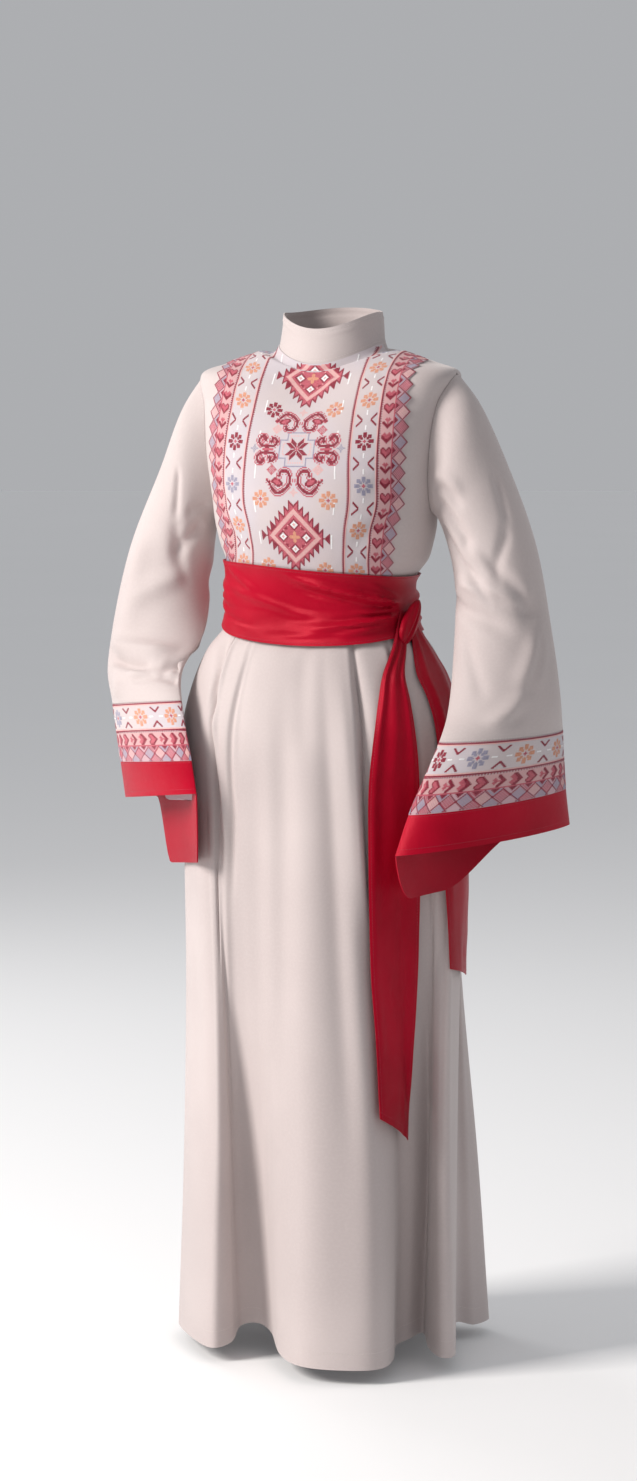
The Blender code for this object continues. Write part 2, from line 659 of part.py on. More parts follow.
def make_sleeve(side):
    sign = 1 if side == "left" else -1
    surface = plain_sleeve(side)
    turns = np.linspace(0, 2 * math.pi, 2 * BODICE_ARM_ROWS + 1)[:-1]
    gap = SLEEVE_GAP / SLEEVE_LENGTH
    body = np.linspace(0, TRIM_RUN - gap, SLEEVE_ROWS + 1)
    trim = np.linspace(TRIM_RUN, CUFF_RUN - gap, TRIM_ROWS + 1)
    cuff = np.linspace(CUFF_RUN, 1.0, CUFF_ROWS + 1)
    for name, cloth, runs in (
            ("sleeve_" + side, "crepe", body),
            ("sleeve_trim_" + side, "embroidered_cloth", trim),
            ("cuff_" + side, "satin", cuff)):
        rows, columns = np.meshgrid(runs, turns, indexing="ij")
        points = surface(columns, rows)
        normals = outward(surface, columns, np.clip(rows, 0.012, 0.998)) * sign
        degrees = np.degrees(columns)
        height = crease_height(SLEEVE_CREASES[side], degrees, rows, SLEEVE_DEGREE, SLEEVE_LENGTH, 360)
        points = points + normals * (height * smooth(0, 0.06, rows))[..., None]
        if runs[0] == 0:
            normals[0] = armhole_normals(turns, side)
            towards = unit(surface(turns, np.full_like(turns, 0.03)) - points[0])
            points[0] += towards * ARMHOLE_GAP
        order = slice(None) if sign > 0 else slice(None, None, -1)
        wall(name, cloth, points[:, order], normals[:, order], CREPE, tube=True)


def make_skirt():
    fold_gap = SEAM_GAP / 2 / FOLD_SIZE
    spans = (("skirt_front", 0, LEFT_SEAM_FOLD), ("skirt_back", LEFT_SEAM_FOLD, FOLD_COUNT))
    for name, first, last in spans:
        folds = np.linspace(first, last, (last - first) * COLUMNS_PER_FOLD + 1)
        folds[0] += fold_gap
        folds[-1] -= fold_gap
        rows, columns = np.meshgrid(SKIRT_LEVELS, folds, indexing="ij")
        points = skirt(columns, rows)
        normals = -outward(skirt, columns, np.clip(rows, 0.003, 0.997), step_u=0.05)
        height = crease_height(SKIRT_PLEATS, columns, rows, FOLD_SIZE, SKIRT_LENGTH, FOLD_COUNT)
        points = points + normals * height[..., None]
        points[0, :, 2] -= SEAM_GAP
        wall(name, "crepe", points[:, ::-1], normals[:, ::-1], CREPE)


def body_at(angle, height):
    """The bodice's or the skirt's plain ring at a height."""
    heights = TORSO["height"][:WAIST_RINGS]
    levels = TORSO["level"][:WAIST_RINGS]
    level = along(heights, levels, height)
    for _ in range(4):
        leaned = torso(angle, level)[..., 2]
        level = along(heights, levels, height + along(levels, heights, level) - leaned)
    below = skirt_plain(angle, along(-SKIRT["height"], SKIRT["level"], -np.asarray(height, float)))
    return np.where((np.asarray(height) >= WAIST_HEIGHT)[..., None], torso(angle, level), below)


def sash(angle, place):
    """The sash's outer surface: angle in radians, place from its bottom, 0, to its top, 1."""
    degrees = (np.degrees(angle) + 180) % 360 - 180
    bottom = along(SASH["angle"], SASH["bottom"], degrees)
    top = along(SASH["angle"], SASH["top"], degrees)
    height = bottom + (top - bottom) * place
    point = body_at(angle, height)
    point[..., 2] = height
    out = np.stack([np.sin(angle), -np.cos(angle), 0 * angle], -1)
    crease = crease_height(SASH_CREASES, degrees, place, SASH_DEGREE, SASH_HEIGHT, 360)
    return point + out * (SASH_CLEARANCE + SATIN + np.maximum(crease, 0))[..., None]


def make_sash_wrap():
    angles = np.linspace(-math.pi, math.pi, SASH_COLUMNS + 1)[:-1]
    places = np.linspace(0, 1, SASH_ROWS + 1)
    rows, columns = np.meshgrid(places, angles, indexing="ij")
    points = sash(columns, rows)
    out = np.stack([np.sin(columns), -np.cos(columns), 0 * columns], -1)
    wall("sash_wrap", "satin", points, out, SATIN, tube=True)


def reach_at(ring, angle):
    """How far a ring of points reaches from the axis, close to an angle."""
    turn = np.arctan2(ring[:, 0], -ring[:, 1])
    near = np.abs((turn - angle + math.pi) % (2 * math.pi) - math.pi) < NEAR_ANGLE
    return np.hypot(ring[near, 0], ring[near, 1]).max()


def support_reach(angle, height):
    """How far the folded skirt and the sash reach at each angle and height."""
    folds = np.linspace(0, FOLD_COUNT, FOLD_COUNT * 8, endpoint=False)
    turns = np.linspace(-math.pi, math.pi, 240, endpoint=False)
    degrees = np.degrees(turns)
    bottom = along(SASH["angle"], SASH["bottom"], degrees)
    top = along(SASH["angle"], SASH["top"], degrees)
    out = np.zeros(np.shape(angle))
    for row in np.ndindex(np.shape(angle)):
        level = along(-SKIRT["height"], SKIRT["level"], -min(height[row], WAIST_HEIGHT))
        out[row] = reach_at(skirt(folds, np.full(len(folds), float(level))), angle[row])
        for margin in (-SASH_MARGIN, 0, SASH_MARGIN):
            if height[row] + margin > bottom.min():
                place = np.clip((height[row] + margin - bottom) / (top - bottom), 0, 1)
                out[row] = max(out[row], reach_at(sash(turns, place), angle[row]))
    return out


def make_sash_tail(name):
    rows = TAILS[name]
    heights = np.linspace(rows["height"][0], rows["height"][-1], TAIL_ROWS + 1)
    keys = -rows["height"]
    share = np.linspace(0, 1, TAIL_COLUMNS + 1)
    first = np.radians(along(keys, rows["edge_from"], -heights))
    last = np.radians(along(keys, rows["edge_to"], -heights))
    stand = along(keys, rows["stand"], -heights)
    angles = first[:, None] + (last - first)[:, None] * share
    fall = (heights - heights[0]) / (heights[-1] - heights[0])
    height = heights[:, None] + TAIL_SLANT[name] * (0.5 - share) * (fall**3)[:, None]
    reach = support_reach(angles, height) + stand[:, None] + SATIN
    points = np.stack([reach * np.sin(angles), -reach * np.cos(angles), height], -1)
    out = np.stack([np.sin(angles), -np.cos(angles), 0 * angles], -1)
    wall("sash_tail_" + name, "satin", points[::-1], out[::-1], SATIN)


def make_sash_knot():
    """A flattened lump of folded satin with three soft ridges, over the roots of the free ends."""
    out = np.array([math.sin(KNOT_ANGLE), -math.cos(KNOT_ANGLE), 0])
    side = np.array([math.cos(KNOT_ANGLE), math.sin(KNOT_ANGLE), 0])
    up = np.array([0, 0, 1.0])
    on_sash = sash(np.array(KNOT_ANGLE), np.array(KNOT_PLACE))
    heights = on_sash[2] + KNOT_HALF_HEIGHT * np.array(KNOT_SPREAD)
    reach = support_reach(np.full(len(heights), KNOT_ANGLE), heights).max()
    centre = out * (reach + KNOT_STAND + KNOT_HALF_DEPTH) + up * on_sash[2]
    rings = 9
    spokes = 16
    points = []
    for ring in range(1, rings):
        tilt = math.pi * ring / rings
        for spoke in range(spokes):
            turn = 2 * math.pi * spoke / spokes
            width = math.sin(tilt) * (1 + 0.10 * math.cos(3 * turn + 1.2 * tilt))
            across = side * KNOT_HALF_WIDTH * width * math.cos(turn)
            away = out * KNOT_HALF_DEPTH * width * math.sin(turn)
            points.append(across + away + up * KNOT_HALF_HEIGHT * math.cos(tilt))
    points.append(up * KNOT_HALF_HEIGHT)
    points.append(-up * KNOT_HALF_HEIGHT)
    faces = []
    for ring in range(rings - 2):
        for spoke in range(spokes):
            a = ring * spokes + spoke
            b = ring * spokes + (spoke + 1) % spokes
            faces += [(a, b + spokes, a + spokes), (a, b, b + spokes)]
    top = len(points) - 2
    bottom = len(points) - 1
    last = (rings - 2) * spokes
    for spoke in range(spokes):
        b = (spoke + 1) % spokes
        faces += [(top, b, spoke), (bottom, last + spoke, last + b)]
    add_object("sash_knot", "satin", np.array(points) + centre, faces)


def main():
    for piece in list(bpy.data.objects):
        bpy.data.objects.remove(piece, do_unlink=True)
    make_bodice_front()
    make_bodice_back()
    make_collar()
    make_sleeve("left")
    make_sleeve("right")
    make_skirt()
    make_sash_wrap()
    make_sash_tail("front")
    make_sash_tail("back")
    make_sash_knot()


main()
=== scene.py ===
"""The looks of an ankle-length embroidered dress: cloth shells with their creases, cross-stitch
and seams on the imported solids, each made from the same rings and tables as the solids.

Metres, +Z up. The front faces -Y and the wearer's left is +X.
"""
import math

import bpy
import mathutils
import numpy as np
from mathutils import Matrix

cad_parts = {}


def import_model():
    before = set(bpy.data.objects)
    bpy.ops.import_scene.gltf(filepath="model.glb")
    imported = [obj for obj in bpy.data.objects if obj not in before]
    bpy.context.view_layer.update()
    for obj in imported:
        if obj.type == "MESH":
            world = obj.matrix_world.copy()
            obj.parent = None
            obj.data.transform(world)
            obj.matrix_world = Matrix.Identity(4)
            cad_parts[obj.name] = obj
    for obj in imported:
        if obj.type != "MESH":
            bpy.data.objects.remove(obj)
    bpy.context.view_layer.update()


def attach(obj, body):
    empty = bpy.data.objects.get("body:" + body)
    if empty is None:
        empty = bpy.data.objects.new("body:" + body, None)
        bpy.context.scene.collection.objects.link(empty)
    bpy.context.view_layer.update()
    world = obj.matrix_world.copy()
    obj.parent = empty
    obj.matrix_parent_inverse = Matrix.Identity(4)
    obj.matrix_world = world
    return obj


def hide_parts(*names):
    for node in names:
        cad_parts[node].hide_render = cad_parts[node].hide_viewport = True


# Cloth and seams
CREPE = 0.0016
PANEL_CLOTH = 0.0013
SATIN = 0.0014
SEAM_GAP = 0.0003
SLEEVE_GAP = 0.00045
ARMHOLE_GAP = 0.0006

# Heights of the seams and ends
WAIST_HEIGHT = -0.360
HEM_HEIGHT = -1.384
COLLAR_TOP = 0.045

# Columns across the chest panel, and rows and half the columns of a free end, as in the solids
PANEL_COLUMNS = 12
TAIL_ROWS = 18
TAIL_COLUMNS = 4


def table(columns, rows):
    """A dictionary with one array for each named column."""
    data = np.array(rows, float)
    return {name: data[:, i] for i, name in enumerate(columns.split())}


# Rings of the bodice and collar. The level runs from 0 at the waist seam to 1 at the collar's top.
# The front of a ring drops and its back rises from its own height, and it leans to the left side.
TORSO = table("level height half_width front back shift forward drop rise lean power", [
    (0.00, WAIST_HEIGHT, 0.1310, 0.100, 0.087, -0.009, 0.000, 0.000, 0.000, 0.00, 2.2),
    (0.10, -0.313, 0.1305, 0.104, 0.086, -0.009, 0.002, 0.000, 0.000, 0.07, 2.2),
    (0.14, -0.300, 0.1370, 0.109, 0.089, -0.006, 0.003, 0.000, 0.000, 0.07, 2.2),
    (0.17, -0.284, 0.1460, 0.117, 0.093, -0.003, 0.003, 0.000, 0.000, 0.07, 2.2),
    (0.21, -0.260, 0.1525, 0.126, 0.097, -0.001, 0.004, 0.000, 0.000, 0.05, 2.2),
    (0.32, -0.214, 0.1570, 0.133, 0.104, 0.000, 0.006, 0.000, 0.000, 0.02, 2.3),
    (0.45, -0.150, 0.1650, 0.124, 0.114, 0.000, 0.006, 0.004, 0.000, 0.00, 2.5),
    (0.60, -0.080, 0.1740, 0.101, 0.112, 0.000, 0.000, 0.018, 0.004, 0.00, 2.6),
    (0.70, -0.038, 0.1830, 0.084, 0.096, 0.000, -0.008, 0.030, 0.008, 0.00, 2.5),
    (0.78, -0.024, 0.1480, 0.079, 0.086, 0.000, -0.014, 0.030, 0.010, 0.00, 2.3),
    (0.88, -0.010, 0.1060, 0.074, 0.076, 0.000, -0.018, 0.029, 0.010, 0.00, 2.1),
    (0.96, 0.001, 0.0740, 0.072, 0.070, 0.000, -0.020, 0.028, 0.010, 0.00, 2.0),
    (1.00, COLLAR_TOP, 0.0690, 0.066, 0.066, 0.000, -0.020, 0.024, 0.008, 0.00, 2.0),
])
NECK_LEVEL = 0.96
WAIST_RINGS = 6

# The armhole is a loop on the torso, about the side line
ARM_MIDDLE = 0.49
ARM_HALF = 0.20
ARM_SWING_FRONT = math.radians(14)
ARM_SWING_BACK = math.radians(19)

# Half the chest panel's width at each level, and how far its edge turns round the body
PANEL = table("level half_width", [
    (0.00, 0.106),
    (0.10, 0.110),
    (0.21, 0.126),
    (0.32, 0.138),
    (0.45, 0.142),
    (1.00, 0.142),
])
PANEL_TURN = math.radians(64)
PANEL_EDGE_MARGIN = 0.005

# Rings of the sleeves, from the armhole at run 0 to the end at run 1. Under is the ring's inner
# point and over its outer one. The back of the opening sags below the front.
SLEEVE_COLUMN_NAMES = "run under_x under_y under_z over_x over_y over_z front back pinch sag"
SLEEVE = {
    "left": table(SLEEVE_COLUMN_NAMES, [
        (0.08, 0.164, 0.000, -0.240, 0.216, 0.000, -0.078, 0.058, 0.058, 0.00, 0.000),
        (0.20, 0.176, 0.000, -0.272, 0.257, 0.005, -0.165, 0.058, 0.056, 0.00, 0.000),
        (0.35, 0.188, -0.010, -0.330, 0.295, 0.020, -0.275, 0.056, 0.054, 0.00, 0.000),
        (0.50, 0.196, -0.037, -0.408, 0.314, 0.033, -0.400, 0.058, 0.042, 0.10, 0.000),
        (0.64, 0.202, -0.078, -0.491, 0.321, 0.039, -0.472, 0.054, 0.034, 0.20, 0.000),
        (0.76, 0.200, -0.113, -0.534, 0.324, 0.045, -0.525, 0.048, 0.030, 0.30, 0.015),
        (0.90, 0.170, -0.153, -0.630, 0.330, 0.047, -0.607, 0.040, 0.030, 0.35, 0.040),
        (1.00, 0.158, -0.173, -0.683, 0.336, 0.047, -0.656, 0.036, 0.030, 0.35, 0.065),
    ]),
    "right": table(SLEEVE_COLUMN_NAMES, [
        (0.08, -0.168, 0.000, -0.240, -0.208, 0.000, -0.080, 0.058, 0.058, 0.00, 0.000),
        (0.20, -0.174, 0.000, -0.272, -0.244, 0.005, -0.165, 0.058, 0.056, 0.00, 0.000),
        (0.35, -0.180, -0.010, -0.330, -0.292, 0.020, -0.275, 0.056, 0.054, 0.00, 0.000),
        (0.50, -0.174, -0.038, -0.400, -0.322, 0.032, -0.390, 0.058, 0.034, 0.10, 0.000),
        (0.64, -0.182, -0.100, -0.450, -0.323, 0.037, -0.456, 0.054, 0.024, 0.20, 0.000),
        (0.76, -0.166, -0.135, -0.486, -0.322, 0.035, -0.508, 0.045, 0.022, 0.30, 0.015),
        (0.90, -0.139, -0.163, -0.566, -0.314, 0.031, -0.589, 0.040, 0.022, 0.35, 0.055),
        (1.00, -0.129, -0.170, -0.610, -0.309, 0.029, -0.640, 0.036, 0.022, 0.35, 0.095),
    ]),
}
DOWN = np.array([0, 0, -1.0])
TRIM_RUN = 0.76
CUFF_RUN = 0.90
# The way the upper arm points, which the first rings lie across
ARM_LINE = (0.6, 0, -0.8)
ARM_LINE_RINGS = 2
# Turns, in degrees, where the sag of the opening starts, is full, starts to end and ends
SAG_TURNS = {"left": (182, 222, 250, 304), "right": (182, 212, 280, 302)}

# Creases of the sleeves: from one place to another, its half width and its height in metres
CREASE_COLUMNS = "turn_from run_from turn_to run_to width height"
SLEEVE_CREASES = {
    "left": table(CREASE_COLUMNS, [
        (134, 0.060, 107, 0.315, 0.012, -0.007),
        (107, 0.315, 50, 0.454, 0.012, -0.009),
        (150, 0.340, 60, 0.440, 0.012, 0.008),
        (185, 0.380, 90, 0.470, 0.012, -0.007),
        (50, 0.470, 79, 0.607, 0.018, 0.006),
        (79, 0.607, 121, 0.709, 0.018, 0.006),
        (200, 0.330, 290, 0.430, 0.016, -0.008),
        (215, 0.450, 320, 0.420, 0.014, 0.007),
        (250, 0.120, 300, 0.300, 0.018, -0.006),
    ]),
    "right": table(CREASE_COLUMNS, [
        (71, 0.600, 143, 0.620, 0.012, -0.012),
        (143, 0.620, 200, 0.600, 0.012, -0.010),
        (60, 0.545, 150, 0.560, 0.016, 0.009),
        (155, 0.140, 120, 0.300, 0.014, -0.006),
        (150, 0.320, 80, 0.440, 0.016, 0.006),
        (200, 0.340, 290, 0.430, 0.016, -0.008),
        (210, 0.560, 300, 0.480, 0.016, 0.007),
        (250, 0.120, 300, 0.300, 0.018, -0.006),
    ]),
}
SLEEVE_DEGREE = math.radians(0.085)
SLEEVE_LENGTH = 0.60

# Rings of the skirt without its folds, from level 0 at the waist seam to 1 at the hem
SKIRT = table("level height half_width front back shift forward power", [
    (0.00, WAIST_HEIGHT, 0.1310, 0.100, 0.087, -0.009, 0.000, 2.2),
    (0.022, -0.383, 0.1345, 0.104, 0.091, -0.009, 0.000, 2.2),
    (0.060, -0.420, 0.1610, 0.120, 0.112, -0.010, 0.002, 2.2),
    (0.13, -0.500, 0.1930, 0.147, 0.145, -0.009, 0.002, 2.2),
    (0.26, -0.640, 0.2010, 0.159, 0.166, -0.005, 0.000, 2.1),
    (0.50, -0.885, 0.2000, 0.168, 0.180, -0.003, 0.000, 2.0),
    (0.75, -1.140, 0.2040, 0.182, 0.190, 0.000, 0.000, 2.0),
    (1.00, HEM_HEIGHT, 0.2100, 0.192, 0.200, 0.000, 0.000, 2.0),
])

# The folds of the skirt where they reach the hem: across and towards someone who stands this
# far round to the wearer's left, and how far the hem lifts there
VIEW_TURN = math.radians(20)
HEM = table("across toward lift", [
    (-0.212, -0.050, 0.000),
    (-0.192, 0.030, 0.000),
    (-0.162, 0.092, 0.000),
    (-0.134, 0.076, 0.004),
    (-0.122, 0.040, 0.018),
    (-0.098, 0.040, 0.022),
    (-0.079, 0.062, 0.014),
    (-0.066, 0.130, 0.000),
    (-0.036, 0.195, 0.000),
    (0.022, 0.217, 0.000),
    (0.070, 0.208, 0.000),
    (0.089, 0.160, 0.000),
    (0.094, 0.105, 0.006),
    (0.113, 0.090, 0.012),
    (0.132, 0.072, 0.016),
    (0.139, 0.110, 0.004),
    (0.155, 0.146, 0.000),
    (0.174, 0.135, 0.000),
    (0.178, 0.060, 0.004),
    (0.182, -0.020, 0.008),
    (0.208, -0.040, 0.000),
    (0.231, -0.080, 0.000),
    (0.206, -0.125, 0.000),
    (0.165, -0.118, 0.008),
    (0.142, -0.165, 0.000),
    (0.100, -0.206, 0.000),
    (0.060, -0.165, 0.010),
    (0.012, -0.195, 0.000),
    (-0.035, -0.216, 0.000),
    (-0.072, -0.168, 0.010),
    (-0.115, -0.178, 0.000),
    (-0.154, -0.165, 0.000),
    (-0.168, -0.112, 0.008),
    (-0.202, -0.100, 0.000),
])
FOLD_COUNT = len(HEM["across"])

# Pleats that fall from the waist: fold and level where each starts and ends, and its form
SKIRT_PLEATS = table("turn_from run_from turn_to run_to width height", [
    (1.7, 0.04, 3.4, 0.14, 0.008, -0.009),
    (3.4, 0.14, 3.6, 0.34, 0.010, -0.008),
    (2.9, 0.10, 4.3, 0.30, 0.009, 0.004),
    (10.8, 0.04, 10.8, 0.36, 0.009, -0.009),
    (10.1, 0.10, 10.2, 0.40, 0.010, 0.004),
    (5.6, 0.05, 5.8, 0.20, 0.012, -0.003),
    (8.2, 0.05, 8.3, 0.18, 0.012, -0.003),
    (13.4, 0.04, 13.6, 0.26, 0.010, -0.006),
    (15.9, 0.04, 15.7, 0.22, 0.010, -0.005),
    (20.4, 0.04, 20.2, 0.30, 0.010, -0.007),
    (23.2, 0.04, 23.0, 0.34, 0.010, -0.008),
    (26.0, 0.04, 26.1, 0.30, 0.010, -0.008),
    (28.9, 0.04, 29.1, 0.36, 0.010, -0.008),
    (32.2, 0.04, 32.0, 0.28, 0.010, -0.006),
])
FOLD_SIZE = 0.028
SKIRT_LENGTH = 1.03
LEFT_SEAM_FOLD = 18
# How much of its hem depth a fold has at each level
FOLD_GROWTH = table("level share", [
    (0.00, 0.00),
    (0.13, 0.03),
    (0.30, 0.15),
    (0.50, 0.38),
    (0.75, 0.72),
    (1.00, 1.00),
])

# The sash's edges at each angle from the front, + to the wearer's left
SASH = table("angle bottom top", [
    (-180, -0.390, -0.300),
    (-135, -0.383, -0.297),
    (-90, -0.378, -0.296),
    (-45, -0.399, -0.298),
    (0, -0.408, -0.305),
    (45, -0.405, -0.312),
    (75, -0.395, -0.316),
    (110, -0.391, -0.313),
    (180, -0.390, -0.300),
])
SASH_CLEARANCE = 0.0042
# Creases of the sash: angles from the front and places from its bottom, 0, to its top, 1
SASH_CREASES = table("turn_from run_from turn_to run_to width height", [
    (8, 0.90, 74, 0.50, 0.007, 0.0045),
    (40, 0.60, 73, 0.56, 0.004, 0.0030),
    (50, 0.72, 74, 0.62, 0.004, 0.0030),
    (-5, 0.22, 72, 0.38, 0.006, 0.0040),
    (30, 0.12, 72, 0.30, 0.005, 0.0030),
    (-88, 0.70, -52, 0.48, 0.006, 0.0030),
    (-95, 0.42, -60, 0.20, 0.006, 0.0030),
    (-170, 0.30, -110, 0.66, 0.007, 0.0035),
    (100, 0.55, 170, 0.75, 0.007, 0.0035),
    (95, 0.35, 160, 0.28, 0.007, 0.0030),
])
SASH_DEGREE = math.radians(0.125)
SASH_HEIGHT = 0.100
# A free end also clears the sash this far below it, and what lies this close on either side
SASH_MARGIN = 0.006
NEAR_ANGLE = math.radians(5)

# The knot, at the wearer's left front: its angle, its place on the sash, and half its sizes
KNOT_ANGLE = math.radians(74)
KNOT_PLACE = 0.44
KNOT_HALF_WIDTH = 0.017
KNOT_HALF_HEIGHT = 0.019
KNOT_HALF_DEPTH = 0.009
KNOT_SPREAD = (-0.4, 0.0, 0.4)
# How far the knot stands off the sash, with the roots of the free ends between them
KNOT_STAND = 0.0014

# The sash's free ends: heights and both edges, as angles from the front, and how far each
# stretch stands out from what it hangs on
TAIL_COLUMN_NAMES = "height edge_from edge_to stand"
TAILS = {
    "front": table(TAIL_COLUMN_NAMES, [
        (-0.364, 69.0, 75.0, 0.0002),
        (-0.385, 65.0, 74.0, 0.0003),
        (-0.405, 59.0, 69.0, 0.0022),
        (-0.430, 51.0, 61.5, 0.0035),
        (-0.480, 44.0, 59.0, 0.0030),
        (-0.535, 40.0, 59.0, 0.0040),
        (-0.585, 38.0, 60.0, 0.0050),
        (-0.670, 37.5, 61.0, 0.0050),
        (-0.770, 37.5, 62.5, 0.0060),
        (-0.860, 38.0, 63.6, 0.0060),
        (-0.955, 39.5, 63.8, 0.0060),
        (-1.065, 40.0, 63.6, 0.0070),
    ]),
    "back": table(TAIL_COLUMN_NAMES, [
        (-0.364, 76.0, 86.0, -0.0004),
        (-0.385, 76.0, 89.0, -0.0004),
        (-0.410, 72.0, 92.0, 0.0004),
        (-0.440, 67.0, 96.0, 0.0020),
        (-0.480, 69.0, 95.0, 0.0030),
        (-0.540, 70.0, 94.0, 0.0030),
        (-0.640, 71.0, 94.0, 0.0030),
        (-0.745, 72.0, 96.0, 0.0040),
        (-0.860, 74.0, 98.0, 0.0050),
    ]),
}
# How much higher the first edge's corner ends than the last edge's
TAIL_SLANT = {"front": 0.042, "back": 0.020}


def along(keys, values, at):
    """A smooth curve through the values at increasing keys."""
    keys = np.asarray(keys, float)
    values = np.asarray(values, float)
    at = np.clip(np.asarray(at, float), keys[0], keys[-1])
    gap = np.diff(keys).reshape((-1,) + (1,) * (values.ndim - 1))
    rise = np.diff(values, axis=0) / gap
    slope = np.zeros_like(values)
    slope[0] = rise[0]
    slope[-1] = rise[-1]
    slope[1:-1] = (rise[:-1] * gap[1:] + rise[1:] * gap[:-1]) / (gap[:-1] + gap[1:])
    k = np.clip(np.searchsorted(keys, at, side="right") - 1, 0, len(keys) - 2)
    h = keys[k + 1] - keys[k]
    t = (at - keys[k]) / h
    shape = t.shape + (1,) * (values.ndim - 1)
    t = t.reshape(shape)
    h = h.reshape(shape)
    start = (2 * t**3 - 3 * t**2 + 1) * values[k] + (t**3 - 2 * t**2 + t) * h * slope[k]
    end = (3 * t**2 - 2 * t**3) * values[k + 1] + (t**3 - t**2) * h * slope[k + 1]
    return start + end


def smooth(low, high, value):
    """0 below low, 1 above high, and a soft step between."""
    t = np.clip((np.asarray(value, float) - low) / (high - low), 0, 1)
    return t * t * (3 - 2 * t)


def unit(vectors):
    return vectors / np.maximum(np.linalg.norm(vectors, axis=-1, keepdims=True), 1e-12)


def ring_point(rings, angle, level):
    """A point on a ring of the torso or skirt, with its angle from the front."""
    angle, level = np.broadcast_arrays(np.asarray(angle, float), np.asarray(level, float))
    ring = {name: along(rings["level"], values, level) for name, values in rings.items()}
    sine = np.sin(angle)
    cosine = np.cos(angle)
    depth = np.where(cosine > 0, ring["front"], ring["back"])
    power = ring["power"]
    reach = (np.abs(sine / ring["half_width"])**power + np.abs(cosine / depth)**power)**(-1 / power)
    height = ring["height"]
    if "drop" in ring:
        height = height + np.where(cosine > 0, -ring["drop"], ring["rise"]) * cosine**2
        height = height - ring["lean"] * reach * sine
    return np.stack([ring["shift"] + reach * sine, -ring["forward"] - reach * cosine, height], -1)


def torso(angle, level):
    return ring_point(TORSO, angle, level)


def outward(surface, u, v, step_u=0.004, step_v=0.002):
    """Unit normals of a surface, on the side that its (u, v) order turns to."""
    across = surface(u + step_u, v) - surface(u - step_u, v)
    along_v = surface(u, v + step_v) - surface(u, v - step_v)
    return unit(np.cross(across, along_v))


def arm_angle(level, side):
    """How far from the front the bodice front reaches at a level, on one side."""
    turn_cosine = np.clip((level - ARM_MIDDLE) / ARM_HALF, -1, 1)
    swing = ARM_SWING_FRONT if side == "front" else ARM_SWING_BACK
    return math.pi / 2 - swing * np.sqrt(1 - turn_cosine**2)


def armhole(turn, sign):
    """The armhole's loop: turn 0 is at the shoulder, 90 degrees at its front."""
    level = ARM_MIDDLE + ARM_HALF * np.cos(turn)
    sine = np.sin(turn)
    swing = sine * np.where(sine > 0, ARM_SWING_FRONT, ARM_SWING_BACK)
    return torso(sign * (math.pi / 2 - swing), level)


def crease_height(creases, turn, run, turn_size, run_size, repeat):
    """The height that a table's creases add, with the metres in one unit of turn and of run."""
    total = np.zeros(np.broadcast(turn, run).shape)
    for row in range(len(creases["width"])):
        turn_from = creases["turn_from"][row]
        run_from = creases["run_from"][row]
        reach = (creases["turn_to"][row] - turn_from) * turn_size
        climb = (creases["run_to"][row] - run_from) * run_size
        apart = (turn - turn_from + repeat / 2) % repeat - repeat / 2
        across = apart * turn_size
        up = (run - run_from) * run_size
        length = math.hypot(reach, climb)
        place = (across * reach + up * climb) / length**2
        away = np.abs(across * climb - up * reach) / length
        fade = smooth(-0.12, 0.25, place) * (1 - smooth(0.75, 1.12, place))
        total = total + creases["height"][row] * fade * np.exp(-(away / creases["width"][row])**2)
    return total


def sleeve_rings(turn, side):
    """The runs of a sleeve's rings and their points, with the armhole as the first."""
    sign = 1 if side == "left" else -1
    rings = SLEEVE[side]
    points = [armhole(turn, sign)]
    for k in range(len(rings["run"])):
        under = np.array([rings["under_" + axis][k] for axis in "xyz"])
        over = np.array([rings["over_" + axis][k] for axis in "xyz"])
        half = (over - under) / 2
        arm_line = np.array([sign, 1, 1]) * ARM_LINE if k < ARM_LINE_RINGS else DOWN
        forward = unit(np.cross(half, arm_line))
        forward = forward * (-1 if forward[1] > 0 else 1)
        sine = np.sin(turn)
        depth = np.where(sine > 0, rings["front"][k], rings["back"][k])
        fullness = depth * sine * np.abs(sine)**rings["pinch"][k]
        ring = (under + over) / 2 + np.cos(turn)[..., None] * half + fullness[..., None] * forward
        start, full, fade, end = SAG_TURNS[side]
        degrees = np.degrees(turn) % 360
        ring[..., 2] -= rings["sag"][k] * smooth(start, full, degrees) * (1 - smooth(fade, end, degrees))
        points.append(ring)
    return np.concatenate([[0.0], rings["run"]]), np.stack(points)


def plain_sleeve(side):
    """The sleeve's surface without its creases, as a function of turn and run arrays."""
    def surface(turn, run):
        turn, run = np.broadcast_arrays(np.asarray(turn, float), np.asarray(run, float))
        shape = turn.shape
        runs, points = sleeve_rings(turn.ravel(), side)
        out = np.empty((turn.size, 3))
        flat_run = run.ravel()
        for value in np.unique(flat_run):
            here = flat_run == value
            out[here] = along(runs, points[:, here], value)
        return out.reshape(shape + (3,))
    return surface


def skirt_plain(angle, level):
    return ring_point(SKIRT, angle, level)


